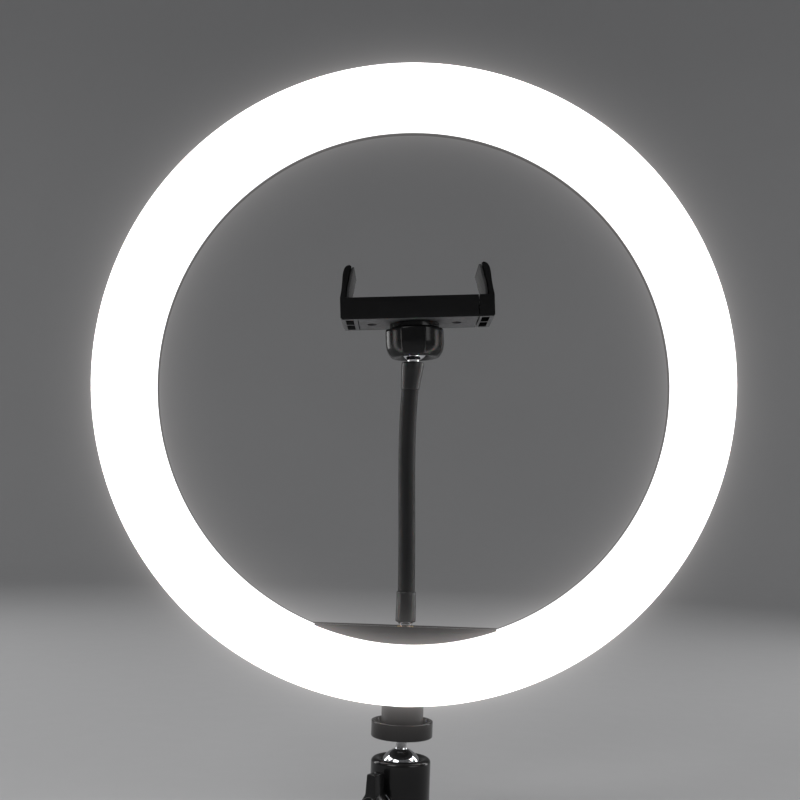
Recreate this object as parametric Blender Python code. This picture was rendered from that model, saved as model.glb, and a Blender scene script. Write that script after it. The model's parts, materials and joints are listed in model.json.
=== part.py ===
"""Ring light head with a sprung phone clamp on a gooseneck and a small ball head under it.

Millimetres in the constants and outlines, metres in the scene (MM does the conversion). The
origin is the centre of the ball head's base, +Z is up, and the light shines along -Y.
"""

import math

import bmesh
import bpy
from mathutils import Matrix, Vector

MM = 0.001
GAP = 0.3  # between pieces that touch

# Ring light
RING_CENTRE_Z = 184.0
RING_OUTER_R = 130.0
RING_INNER_R = 106.5
RING_FRONT_Y = -12.0
RING_BACK_Y = 12.0
DIFFUSER_BACK_Y = 6.0
DIFFUSER_WALL = 1.8
DIFFUSER_ROUND = 3.5
HOUSING_PLATE = 2.0
HOUSING_ROUND = 3.0
HOUSING_LIP = 1.2
HOUSING_LIP_FRONT_Y = 2.0
RING_STEPS = 64
BOARD_THICK = 1.6
LED_BAND = (114.5, 121.5)
LED_INSET = 1.8
LED_HEIGHT = 0.8
RING_SCREW_R = 123.8
RING_SCREW_COUNT = 6
SCREW_HOLE_R = 1.1
SCREW_SHANK_R = 0.8

# Neck under the ring, threaded onto the ball stud
NECK_R = 8.5
NECK_BOTTOM_Z = 44.5
NECK_BORE_R = 5.0
INSERT_HOLE_R = 3.5

# Segment web and block that close the bottom of the ring and carry the gooseneck
CHORD_BELOW_CENTRE = 99.0
WEB_Y = (8.5, 11.0)
WEB_HALF_WIDTH = 39.5
BLOCK_Y = (-2.0, WEB_Y[0] - GAP)
BLOCK_HALF_WIDTH = 37.0
BLOCK_SCREW_X = 16.0
CHORD_Z = RING_CENTRE_Z - CHORD_BELOW_CENTRE
HOLDER_Y = 3.1

# Cable gland in the rear shell
GLAND_ANGLE = math.radians(-62.0)
GLAND_RING_R = 118.0

# Ball head
HEAD_R = 12.1
HEAD_TOP_Z = 32.1
HEAD_ROUND = 1.8
HEAD_BORE_R = 9.2
HEAD_FLOOR_Z = 10.0
BALL_Z = 27.4
BALL_R = 8.6
STUD_NECK_R = 2.2
STUD_THREAD_R = 3.1
STUD_TOP_Z = 52.0
DISC_R = 12.5
DISC_Z = (40.5, 47.1)
DISC_FLOOR_Z = NECK_BOTTOM_Z - GAP
KNOB_Z = 15.8
KNOB_SCREW_R = 1.8
KNOB_AZIMUTH = math.radians(33.5)  # from straight ahead round to the left
WING_HALF_LENGTH = 12.9
WING_DEPTH = (14.8, 21.2)

# Gooseneck
NECK_STUD_R = 2.3
FERRULE_Z = (CHORD_Z + 1.6, 99.1)
HOSE_TOP_Z = 182.0
LINK_COUNT = 11
LINK_R = 3.4
LINK_END_R = 2.0
LINK_CLEAR = 0.55  # from a link's end to its joint's centre
LINK_PITCH = (HOSE_TOP_Z - FERRULE_Z[1]) / LINK_COUNT
UPPER_FERRULE_TOP_Z = 193.4

# Phone clamp, in its own frame: origin at the upper ball, bed square to local Z
CLAMP_BALL_Z = 200.0
CLAMP_BALL_R = 6.0
NUT_RIDGE_TURN = math.radians(18.4)  # one of its eight ridges, counted from +X towards +Y
CLAMP_LEAN = math.radians(3.5)  # its right-hand end is a little higher
CLAMP_LEFT = -29.9
CLAMP_RIGHT = 32.4
CLAMP_SEAM = 26.0
CLAMP_HALF_DEPTH = 13.5
CLAMP_Z = (9.7, 18.6)
JAW_RISE = 13.2
JAW_PAD_HALF_DEPTH = 12.6
BED_PAD = (20.0, 10.0)  # half its width and half its depth
HOLLOW_LEFT = -23.1
HOLLOW_HALF_DEPTH = 12.0
HOLLOW_TOP = 16.4
BACK_PLATE_TOP = 11.2
PLATE_SCREW_X = 17.5
POCKET_INSET = 3.6  # from an outer face to its pockets' middle
TONGUE_Z = (11.8, 15.6)
TONGUE_HALF_DEPTH = 6.4
TONGUE_LEFT = -20.0
SPRING_Y = 8.6
SPRING_R = 1.5

BLACK = (0.012, 0.012, 0.013)
SATIN = (0.045, 0.045, 0.047)
RUBBER = (0.02, 0.02, 0.02)
CHROME = (0.72, 0.73, 0.75)
STEEL = (0.5, 0.5, 0.52)
BRASS = (0.72, 0.53, 0.24)
MILK = (0.93, 0.94, 0.95)
WHITE = (0.86, 0.87, 0.86)
NYLON = (0.75, 0.74, 0.7)


def clear_scene():
    for obj in list(bpy.data.objects):
        bpy.data.objects.remove(obj, do_unlink=True)


def material(name, colour, roughness, metallic=0.0, glow=0.0):
    found = bpy.data.materials.get(name)
    if found:
        return found
    made = bpy.data.materials.new(name)
    made.use_nodes = True
    shader = made.node_tree.nodes["Principled BSDF"]
    shader.inputs["Base Color"].default_value = (*colour, 1.0)
    shader.inputs["Roughness"].default_value = roughness
    shader.inputs["Metallic"].default_value = metallic
    if glow:
        shader.inputs["Emission Color"].default_value = (*colour, 1.0)
        shader.inputs["Emission Strength"].default_value = glow
    return made


def gloss_black():
    return material("gloss_black_plastic", BLACK, 0.18)


def satin_grey():
    return material("satin_grey_plastic", SATIN, 0.5)


def soft_rubber():
    return material("soft_rubber", RUBBER, 0.75)


def chrome():
    return material("chrome", CHROME, 0.08, metallic=1.0)


def steel():
    return material("zinc_steel", STEEL, 0.35, metallic=1.0)


def brass():
    return material("brass", BRASS, 0.3, metallic=1.0)


def empty(name, place, rotation=(0.0, 0.0, 0.0), parent=None):
    made = bpy.data.objects.new(name, None)
    made.empty_display_size = 0.01
    made.location = [c * MM for c in place]
    made.rotation_euler = rotation
    made.parent = parent
    bpy.context.scene.collection.objects.link(made)
    return made


def finish(bm, name, look, parent):
    """Closes off a bmesh that was drawn in millimetres and puts it in the scene."""
    bmesh.ops.remove_doubles(bm, verts=bm.verts, dist=1e-4)
    bmesh.ops.recalc_face_normals(bm, faces=bm.faces)
    bmesh.ops.scale(bm, verts=bm.verts, vec=(MM, MM, MM))
    mesh = bpy.data.meshes.new(name)
    bm.to_mesh(mesh)
    bm.free()
    mesh.materials.append(look)
    mesh.shade_smooth()
    mesh.set_sharp_from_angle(angle=math.radians(35.0))
    made = bpy.data.objects.new(name, mesh)
    made.parent = parent
    bpy.context.scene.collection.objects.link(made)
    return made


def arc(centre, radius, start, end, steps):
    """Points along an arc from one angle to another, both in degrees."""
    turns = [math.radians(start + (end - start) * i / steps) for i in range(steps + 1)]
    return [(centre[0] + radius * math.cos(t), centre[1] + radius * math.sin(t)) for t in turns]


def lathe_mesh(profile, steps, closed):
    """The profile's (radius, height) points turned about Z. A closed one never meets the axis."""
    bm = bmesh.new()
    verts = [bm.verts.new((r, 0.0, h)) for r, h in profile]
    edges = [bm.edges.new(pair) for pair in zip(verts, verts[1:])]
    if closed:
        edges.append(bm.edges.new((verts[-1], verts[0])))
    bmesh.ops.spin(
        bm, geom=verts + edges, cent=(0, 0, 0), axis=(0, 0, 1), angle=2 * math.pi,
        steps=steps, use_merge=True,
    )
    bmesh.ops.remove_doubles(bm, verts=bm.verts, dist=1e-4)
    bmesh.ops.dissolve_degenerate(bm, edges=bm.edges, dist=1e-4)
    return bm


def lathe(name, profile, look, parent=None, steps=24, closed=False):
    return finish(lathe_mesh(profile, steps, closed), name, look, parent)


def prism(name, outline, low, high, look, parent=None, turn=None):
    """An outline of (x, y) points between two heights; turn is a matrix applied afterwards."""
    bm = bmesh.new()
    face = bm.faces.new([bm.verts.new((x, y, low)) for x, y in outline])
    top = bmesh.ops.extrude_face_region(bm, geom=[face])["geom"]
    moved = [v for v in top if isinstance(v, bmesh.types.BMVert)]
    bmesh.ops.translate(bm, verts=moved, vec=(0.0, 0.0, high - low))
    if turn:
        bmesh.ops.transform(bm, matrix=turn, verts=bm.verts)
    return finish(bm, name, look, parent)


def box(name, low, high, look, parent=None):
    bm = bmesh.new()
    bmesh.ops.create_cube(bm, size=1.0)
    size = [b - a for a, b in zip(low, high)]
    centre = [(a + b) / 2 for a, b in zip(low, high)]
    bmesh.ops.scale(bm, verts=bm.verts, vec=size)
    bmesh.ops.translate(bm, verts=bm.verts, vec=centre)
    return finish(bm, name, look, parent)


def add_bevel(obj, width):
    made = obj.modifiers.new("edge", "BEVEL")
    made.width = width * MM
    made.segments = 1
    made.limit_method = "ANGLE"
    made.angle_limit = math.radians(30.0)


def boolean(obj, other, operation):
    """Cuts other out of obj, or joins it on; other stays in the file as a hidden guide."""
    other.hide_render = True
    other.display_type = "WIRE"
    made = obj.modifiers.new(other.name, "BOOLEAN")
    made.operation = operation
    made.solver = "EXACT"
    made.object = other


def cut(obj, other):
    boolean(obj, other, "DIFFERENCE")


def join(obj, other):
    boolean(obj, other, "UNION")


def along(direction, place):
    """The rotation and location that take local +Z to a direction from a place."""
    quaternion = Vector((0.0, 0.0, 1.0)).rotation_difference(Vector(direction))
    return quaternion.to_matrix().to_4x4(), [c * MM for c in place]


def aim(obj, direction, place):
    turn, location = along(direction, place)
    obj.rotation_euler = turn.to_euler()
    obj.location = location
    return obj


def rod(name, radius, low, high, look, parent=None, steps=16):
    profile = [(0.0, low), (radius, low), (radius, high), (0.0, high)]
    return lathe(name, profile, look, parent, steps)


# ---------------------------------------------------------------- ring light


def ring_profile(outer, inner, round_over, edge, flat, steps):
    """The open outline of a ring shell's outside, from its outer edge over a flat to its inner edge.

    edge is the height of the open edges, flat the height of the closed side.
    """
    way = 1.0 if flat > edge else -1.0
    level = flat - way * round_over
    points = [(outer, edge)]
    points += arc((outer - round_over, level), round_over, 0.0, 90.0 * way, steps)
    points += arc((inner + round_over, level), round_over, 90.0 * way, 180.0 * way, steps)
    points.append((inner, edge))
    return points


def ring_axis():
    """Everything turned about the ring's axis hangs on this empty: its local +Z is world +Y."""
    return empty("ring_axis", (0.0, 0.0, RING_CENTRE_Z), (math.radians(-90.0), 0.0, 0.0))


def diffuser(axis):
    outside = ring_profile(
        RING_OUTER_R, RING_INNER_R, DIFFUSER_ROUND, DIFFUSER_BACK_Y, RING_FRONT_Y, 3
    )
    inside = ring_profile(
        RING_OUTER_R - DIFFUSER_WALL, RING_INNER_R + DIFFUSER_WALL,
        DIFFUSER_ROUND - DIFFUSER_WALL, DIFFUSER_BACK_Y, RING_FRONT_Y + DIFFUSER_WALL, 1,
    )
    look = material("milky_diffuser", MILK, 0.4, glow=4.0)
    return lathe("diffuser", outside + inside[::-1], look, axis, RING_STEPS, closed=True)


def housing_shell(axis):
    edge = DIFFUSER_BACK_Y + GAP
    outside = ring_profile(RING_OUTER_R, RING_INNER_R, HOUSING_ROUND, edge, RING_BACK_Y, 3)
    lip_outer = RING_OUTER_R - DIFFUSER_WALL - GAP
    lip_inner = RING_INNER_R + DIFFUSER_WALL + GAP
    floor = RING_BACK_Y - HOUSING_PLATE
    inside = [
        (lip_inner, edge),
        (lip_inner, HOUSING_LIP_FRONT_Y),
        (lip_inner + HOUSING_LIP, HOUSING_LIP_FRONT_Y),
        (lip_inner + HOUSING_LIP, floor),
        (lip_outer - HOUSING_LIP, floor),
        (lip_outer - HOUSING_LIP, HOUSING_LIP_FRONT_Y),
        (lip_outer, HOUSING_LIP_FRONT_Y),
        (lip_outer, edge),
    ]
    return lathe("rear_housing", outside + inside, gloss_black(), axis, RING_STEPS, closed=True)


def segment_outline(radius, half_width, steps=12):
    """The part of a disc below the chord, seen from the front with the ring's centre at (0, 0)."""
    end = math.asin(half_width / radius)
    turns = [-end + 2 * end * i / steps for i in range(steps + 1)]
    arc_points = [(radius * math.sin(t), -radius * math.cos(t)) for t in turns]
    top = -CHORD_BELOW_CENTRE
    return [(-half_width, top), *arc_points, (half_width, top)]


def slab(name, outline, depths, look):
    """A prism drawn as (x, height over the ring's centre), standing between two depths."""
    upright = Matrix(((1, 0, 0, 0), (0, 0, 1, 0), (0, 1, 0, RING_CENTRE_Z), (0, 0, 0, 1)))
    return prism(name, outline, *depths, look, turn=upright)


def ring_screw_places():
    turns = [2 * math.pi * i / RING_SCREW_COUNT for i in range(RING_SCREW_COUNT)]
    return [(RING_SCREW_R * math.cos(t), RING_SCREW_R * math.sin(t)) for t in turns]


def rear_housing(axis):
    """Rear shell, the web that closes the bottom of the hole, and the round neck, moulded in one."""
    shell = housing_shell(axis)
    web = slab("web_solid", segment_outline(RING_INNER_R + 1.0, WEB_HALF_WIDTH), WEB_Y, gloss_black())
    join(shell, web)
    neck_top = RING_CENTRE_Z - RING_OUTER_R - GAP
    neck = rod("neck_solid", NECK_R, NECK_BOTTOM_Z, neck_top, gloss_black(), steps=32)
    rib = box(
        "neck_rib", (-6.0, DIFFUSER_BACK_Y + 2 * GAP, NECK_BOTTOM_Z + 3.0),
        (6.0, RING_BACK_Y - 0.8, neck_top + 3.0), gloss_black(),
    )
    join(neck, rib)
    join(shell, neck)
    cut(shell, rod("neck_bore", NECK_BORE_R, NECK_BOTTOM_Z - 1.0, STUD_TOP_Z + 0.4, brass(), steps=20))
    for i, (x, y) in enumerate(ring_screw_places()):
        hole = rod(f"ring_screw_hole_{i}", SCREW_HOLE_R, 9.0, 13.0, steel(), axis, 12)
        recess = rod(f"ring_screw_recess_{i}", 2.6, 10.9, 13.0, steel(), axis, 12)
        for cutter in (hole, recess):
            cutter.location = (x * MM, y * MM, 0.0)
            cut(shell, cutter)
    for side in (-1, 1):
        hole = rod(f"web_hole_{side}", SCREW_HOLE_R, 0.0, 20.0, steel(), steps=12)
        aim(hole, (0.0, 1.0, 0.0), block_screw_place(side, 0.0))
        cut(shell, hole)
    opening = rod("gland_hole", 3.0, 9.0, 13.0, steel(), axis, 16)
    opening.location = gland_place()
    cut(shell, opening)
    return shell


def gland_place():
    """In the ring axis's frame, whose local +Y points down."""
    x = GLAND_RING_R * math.cos(GLAND_ANGLE)
    return (x * MM, -GLAND_RING_R * math.sin(GLAND_ANGLE) * MM, 0.0)


def block_screw_place(side, y):
    arc_z = -math.sqrt(RING_INNER_R**2 - BLOCK_SCREW_X**2)
    return (side * BLOCK_SCREW_X, y, RING_CENTRE_Z + (arc_z - CHORD_BELOW_CENTRE) / 2)


def led_board(axis):
    """The ring-shaped board, with its light-emitting packages raised from the side that faces front."""
    back = RING_BACK_Y - HOUSING_PLATE - GAP
    front = back - BOARD_THICK
    lip_inner = RING_INNER_R + DIFFUSER_WALL + GAP + HOUSING_LIP + 2 * GAP
    lip_outer = RING_OUTER_R - DIFFUSER_WALL - GAP - HOUSING_LIP - 2 * GAP
    profile = [
        (lip_inner, back), (lip_outer, back), (lip_outer, front),
        (LED_BAND[1], front), (LED_BAND[0], front), (lip_inner, front),
    ]
    bm = lathe_mesh(profile, RING_STEPS, closed=True)
    middle = sum(LED_BAND) / 2

    def in_band(face):
        centre = face.calc_center_median()
        return abs(centre.z - front) < 0.01 and abs(math.hypot(centre.x, centre.y) - middle) < 1.0

    def turn_of(face):
        centre = face.calc_center_median()
        return math.atan2(centre.y, centre.x) % (2 * math.pi)

    band = sorted(filter(in_band, bm.faces), key=turn_of)
    chips = band[::2]
    bmesh.ops.recalc_face_normals(bm, faces=bm.faces)
    bmesh.ops.inset_individual(bm, faces=chips, thickness=LED_INSET)
    raised = bmesh.ops.extrude_discrete_faces(bm, faces=chips)["faces"]
    for face in raised:
        bmesh.ops.translate(bm, verts=face.verts, vec=(0.0, 0.0, -LED_HEIGHT))
    board = finish(bm, "led_board", material("white_board", WHITE, 0.5, glow=1.0), axis)
    board.rotation_euler.z = math.pi / RING_STEPS
    for i, (x, y) in enumerate(ring_screw_places()):
        hole = rod(f"board_hole_{i}", SCREW_HOLE_R, 5.0, 13.0, steel(), axis, 11)
        hole.location = (x * MM, y * MM, 0.0)
        cut(board, hole)
    return board


def ring_screws(axis):
    head = (RING_BACK_Y - 0.8, RING_BACK_Y + 0.1)
    profile = [
        (0.0, 7.2), (SCREW_SHANK_R, 7.2), (SCREW_SHANK_R, head[0]), (2.2, head[0]), (2.0, head[1]),
        (0.0, head[1]),
    ]
    for i, (x, y) in enumerate(ring_screw_places()):
        screw = lathe(f"ring_screw_{i + 1}", profile, steel(), axis, 10)
        screw.location = (x * MM, y * MM, 0.0)


def cable_gland(axis):
    """Strain relief ring for the supply lead: a flange outside the shell and a sleeve through it."""
    profile = [
        (1.6, 10.2), (2.7, 10.2), (2.7, 12.3), (4.6, 12.3), (4.6, 13.3),
        (3.2, 14.2), (3.0, 19.0), (2.5, 19.6), (1.6, 19.6),
    ]
    gland = lathe("cable_gland", profile, soft_rubber(), axis, 16, closed=True)
    gland.location = gland_place()


def neck_insert():
    """Threaded metal bush moulded into the neck."""
    profile = [
        (INSERT_HOLE_R, NECK_BOTTOM_Z + 0.4), (NECK_BORE_R - GAP, NECK_BOTTOM_Z + 0.4),
        (NECK_BORE_R - GAP, STUD_TOP_Z), (INSERT_HOLE_R, STUD_TOP_Z),
    ]
    lathe("neck_insert", profile, brass(), steps=20, closed=True)


def holder_block():
    """The block in the bottom of the hole that the gooseneck's stud screws into."""
    radius = RING_INNER_R - GAP
    look = gloss_black()
    block = slab("holder_block", segment_outline(radius, BLOCK_HALF_WIDTH), BLOCK_Y, look)
    pocket = rod("insert_pocket", 3.6, CHORD_Z - 6.0, CHORD_Z + 1.0, look, steps=18)
    pocket.location = (0.0, HOLDER_Y * MM, 0.0)
    cut(block, pocket)
    for side in (-1, 1):
        hole = rod(f"block_hole_{side}", SCREW_HOLE_R, 2.6, 12.0, look, steps=12)
        aim(hole, (0.0, 1.0, 0.0), block_screw_place(side, 0.0))
        cut(block, hole)
    insert = lathe(
        "block_insert",
        [(2.6, CHORD_Z - 5.7), (3.3, CHORD_Z - 5.7), (3.3, CHORD_Z - 0.1), (2.6, CHORD_Z - 0.1)],
        brass(), steps=18, closed=True,
    )
    insert.location = (0.0, HOLDER_Y * MM, 0.0)
    profile = [
        (0.0, 3.0), (SCREW_SHANK_R, 3.0), (SCREW_SHANK_R, 11.3), (2.0, 11.3), (2.0, 12.2), (1.4, 12.6),
        (0.0, 12.6),
    ]
    for i, side in enumerate((-1, 1)):
        screw = lathe(f"block_screw_{i + 1}", profile, steel(), steps=12)
        aim(screw, (0.0, 1.0, 0.0), block_screw_place(side, 0.0))


# ------------------------------------------------------------------ ball head


def sphere_arc(radius, centre, start, end, steps):
    """(radius, height) points on a ball from one angle above its equator to another."""
    return arc((0.0, centre), radius, start, end, steps)


def ball_head_housing():
    """Round body with a dished mouth that holds the ball in, and a bore for the seat below it."""
    lip_z = HEAD_TOP_Z - 0.8
    lip_angle = math.degrees(math.asin((lip_z - BALL_Z) / (BALL_R + GAP)))
    cup = sphere_arc(BALL_R + GAP, BALL_Z, lip_angle, -10.0, 4)
    profile = [
        (0.0, 0.0), (HEAD_R - 0.6, 0.0), (HEAD_R, 0.6), (HEAD_R, HEAD_TOP_Z - HEAD_ROUND),
        *arc((HEAD_R - HEAD_ROUND, HEAD_TOP_Z - HEAD_ROUND), HEAD_ROUND, 30.0, 90.0, 2),
        *cup, (HEAD_BORE_R, BALL_Z - 2.4), (HEAD_BORE_R, HEAD_FLOOR_Z), (0.0, HEAD_FLOOR_Z),
    ]
    head = lathe("ball_head_housing", profile, gloss_black(), steps=32)
    socket = rod("base_socket", 5.5, -1.0, 8.8, brass(), steps=24)
    cut(head, socket)
    cross_hole = rod("knob_hole", 2.5, 7.0, 14.0, steel(), steps=16)
    aim(cross_hole, knob_direction(), (0.0, 0.0, KNOB_Z))
    cut(head, cross_hole)
    return head


def base_insert():
    """Tripod socket: threaded bush let into the underside."""
    profile = [(2.6, 0.4), (5.2, 0.4), (5.2, 8.5), (2.6, 8.5)]
    lathe("base_insert", profile, brass(), steps=24, closed=True)


def ball_seat():
    """Nylon cup that the ball is pressed into."""
    cup = sphere_arc(BALL_R + GAP, BALL_Z, -90.0, -28.0, 4)
    outer = HEAD_BORE_R - GAP
    profile = [*cup, (outer, cup[-1][1]), (outer, HEAD_FLOOR_Z + 2.0), (outer - 1.5, HEAD_FLOOR_Z + GAP),
               (0.0, HEAD_FLOOR_Z + GAP)]
    lathe("ball_seat", profile, material("nylon", NYLON, 0.45), steps=16)


def knob_direction():
    return (-math.sin(KNOB_AZIMUTH), -math.cos(KNOB_AZIMUTH), 0.0)


def lock_knob():
    """Wing knob, its screw, the washer under it and the pad that it presses in."""
    joint = empty("knob_joint", (0.0, 0.0, KNOB_Z))
    aim(joint, knob_direction(), (0.0, 0.0, KNOB_Z))
    rod("pressure_pad", 2.2, HEAD_BORE_R + GAP, 11.2, brass(), joint)
    rod("knob_screw", KNOB_SCREW_R, 11.5, 14.4, chrome(), joint)
    washer = [(2.1, HEAD_R + GAP), (4.4, HEAD_R + GAP), (4.4, 13.2), (2.1, 13.2)]
    lathe("knob_washer", washer, chrome(), joint, 24, closed=True)
    hub = lathe(
        "lock_knob",
        [
            (0.0, 14.7), (2.1, 14.7), (2.1, 13.5), (3.8, 13.5), (4.0, 16.6), (4.3, 20.6), (3.6, 21.8),
            (0.0, 22.0),
        ],
        gloss_black(), joint, 24,
    )
    half, tip, root = WING_HALF_LENGTH, 1.75, 4.0
    outline = [
        (half, -tip), (half, tip), (4.9, tip + 0.6), (2.4, root), (-2.4, root), (-4.9, tip + 0.6),
        (-half, tip), (-half, -tip), (-4.9, -tip - 0.6), (-2.4, -root), (2.4, -root), (4.9, -tip - 0.6),
    ]
    wing = prism("wing_solid", outline, *WING_DEPTH, gloss_black(), joint, wing_turn())
    add_bevel(wing, 0.5)
    join(hub, wing)


def wing_turn():
    """Turns the wing about the knob's axis so that it stands upright."""
    turn, _ = along(knob_direction(), (0.0, 0.0, 0.0))
    up = turn.to_3x3().inverted() @ Vector((0.0, 0.0, 1.0))
    return Matrix.Rotation(math.atan2(up.y, up.x), 4, "Z")


def ball_stud():
    """Ball, waist and threaded end in one turned piece."""
    waist = math.degrees(math.acos(STUD_NECK_R / BALL_R))
    profile = [
        *sphere_arc(BALL_R, BALL_Z, -90.0, waist, 9),
        (STUD_NECK_R, DISC_Z[0] - 0.6), (STUD_THREAD_R, DISC_Z[0]),
        (STUD_THREAD_R, STUD_TOP_Z - 1.2), (STUD_THREAD_R - 0.8, STUD_TOP_Z - 0.4), (0.0, STUD_TOP_Z - 0.4),
    ]
    lathe("ball_stud", profile, chrome(), steps=16)


def locking_disc():
    """Round nut on the stud that locks the ring; its dished top takes the neck."""
    low, high = DISC_Z
    profile = [
        (INSERT_HOLE_R, low), (DISC_R - 0.5, low), (DISC_R, low + 0.5), (DISC_R, high - 0.4),
        (DISC_R - 0.4, high), (DISC_R - 1.3, high), (DISC_R - 1.9, DISC_FLOOR_Z + 0.8),
        (DISC_R - 2.4, DISC_FLOOR_Z), (INSERT_HOLE_R, DISC_FLOOR_Z),
    ]
    lathe("locking_disc", profile, gloss_black(), steps=32, closed=True)


# ------------------------------------------------------------------ gooseneck


def gooseneck_stud(axis):
    low, collar = CHORD_Z - 5.4, CHORD_Z + GAP
    profile = [
        (0.0, low), (NECK_STUD_R, low), (NECK_STUD_R, collar), (3.1, collar), (3.1, collar + 1.0),
        (NECK_STUD_R, collar + 1.0), (NECK_STUD_R, FERRULE_Z[1] - 3.4), (0.0, FERRULE_Z[1] - 3.4),
    ]
    lathe("gooseneck_stud", profile, chrome(), axis, 18)


def lower_ferrule(axis):
    low, high = FERRULE_Z
    bore = NECK_STUD_R + GAP
    profile = [
        (0.0, high - 3.0), (bore, high - 3.0), (bore, low), (4.0, low), (4.15, low + 0.4),
        (4.1, high - 1.0), (3.5, high), (0.0, high),
    ]
    lathe("lower_ferrule", profile, satin_grey(), axis, 18)


def link_joint_z(number):
    """The height of the joint under a link; links count from 1 at the bottom."""
    return FERRULE_Z[1] + (number - 1) * LINK_PITCH


def gooseneck_links():
    """The flexible core as short links, each parented to an empty on its own joint's centre."""
    low, high = LINK_CLEAR, LINK_PITCH - LINK_CLEAR
    profile = [
        (0.0, low), (LINK_END_R, low), (LINK_R, low + 0.8), (LINK_R, high - 0.8),
        (LINK_END_R, high), (0.0, high),
    ]
    parent = None
    for number in range(1, LINK_COUNT + 1):
        place = (0.0, 0.0, LINK_PITCH) if parent else (0.0, HOLDER_Y, link_joint_z(1))
        parent = empty(f"gooseneck_joint_{number:02d}", place, parent=parent)
        lathe(f"gooseneck_link_{number:02d}", profile, satin_grey(), parent, 12)
    return parent


def upper_ferrule(top_link):
    """Sleeve end, tapering down onto the hose, that takes the clamp's ball stem."""
    start = HOSE_TOP_Z - link_joint_z(LINK_COUNT)
    end = UPPER_FERRULE_TOP_Z - link_joint_z(LINK_COUNT)
    bore = NECK_STUD_R + GAP
    profile = [
        (0.0, start), (3.3, start), (3.8, start + 0.5), (4.7, end - 1.0), (4.45, end),
        (bore, end), (bore, end - 8.0), (0.0, end - 8.0),
    ]
    lathe("upper_ferrule", profile, satin_grey(), top_link, 18)
    centre = CLAMP_BALL_Z - link_joint_z(LINK_COUNT)
    waist = math.degrees(math.acos(NECK_STUD_R / CLAMP_BALL_R))
    ball = [
        (0.0, end - 7.7), (NECK_STUD_R, end - 7.7),
        *sphere_arc(CLAMP_BALL_R, centre, -waist, 90.0, 9),
    ]
    lathe("clamp_ball", ball, chrome(), top_link, 16)


# ---------------------------------------------------------------- phone clamp


def fluted(bm, lobes=8, depth=0.04, inside=9.3):
    """Draws the outer surface in between its ridges, so that broad panels are left."""
    for vert in bm.verts:
        radius = math.hypot(vert.co.x, vert.co.y)
        if radius > inside:
            turn = math.atan2(vert.co.y, vert.co.x)
            factor = 1.0 - depth * (1.0 - abs(math.cos((turn - NUT_RIDGE_TURN) * lobes / 2)) ** 4)
            vert.co.x *= factor
            vert.co.y *= factor


def clamp_lock_nut(frame):
    """Cap nut over the socket. Its open underside shows the ball."""
    profile = [
        (9.2, 6.9), (11.9, 6.9), (12.6, 6.2), (12.6, 1.5), (12.1, -1.4), (11.2, -3.4), (10.0, -4.6),
        (8.2, -4.7), (5.9, -3.6), (5.9, -2.9), (8.9, -2.9), (8.9, 6.2),
    ]
    bm = lathe_mesh(profile, 40, closed=True)
    fluted(bm)
    finish(bm, "clamp_lock_nut", gloss_black(), frame)


def clamp_socket(frame):
    """Cup that holds the ball, with the hub that joins it to the clamp's underside."""
    cup = sphere_arc(CLAMP_BALL_R + GAP, 0.0, 90.0, -22.0, 6)
    hub_top = CLAMP_Z[0] - GAP
    profile = [*cup, (8.6, cup[-1][1]), (8.6, 7.2), (10.25, 7.2), (10.25, hub_top), (0.0, hub_top)]
    lathe("clamp_socket", profile, gloss_black(), frame, 20)


def jaw_curve():
    """A jaw's outline as (distance in from its outer face, height over the bed), outside then inside."""
    outside = [(0.0, 0.0), (0.6, 3.0), (1.0, 6.0), (1.3, 9.0), (1.8, 11.2), (2.8, 12.7), (4.2, JAW_RISE)]
    inside = [(4.9, 12.7), (4.1, 10.4), (3.6, 8.0), (2.9, 5.4), (2.5, 3.0), (2.3, 0.0)]
    return outside, inside


def pad_outline():
    """The soft pad on a jaw's inner face, in the same coordinates."""
    back = [(2.65, 0.3), (2.85, 3.0), (3.25, 5.4), (3.95, 7.9), (4.45, 10.3), (5.25, 12.5)]
    face = [(6.0, 12.4), (5.4, 10.3), (4.9, 7.8), (4.2, 5.2), (3.8, 3.0), (3.6, 0.3)]
    return back + face


def clamp_slab(name, outline, half_depth, look, frame):
    """An outline of (x, height) points extruded across the clamp's depth."""
    turn = Matrix(((1, 0, 0, 0), (0, 0, 1, 0), (0, 1, 0, 0), (0, 0, 0, 1)))
    return prism(name, outline, -half_depth, half_depth, look, frame, turn)


def end_pockets(obj, side_x, frame):
    """Two core-outs in the underside of an end piece, with a thin rib between them."""
    for i, (low, high) in enumerate(((-11.3, -0.7), (0.7, 11.3))):
        pocket = box(
            f"{obj.name}_pocket_{i}", (side_x - 1.6, low, CLAMP_Z[0] - 1.0),
            (side_x + 1.6, high, CLAMP_Z[0] + 5.0), satin_grey(), frame,
        )
        cut(obj, pocket)


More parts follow.
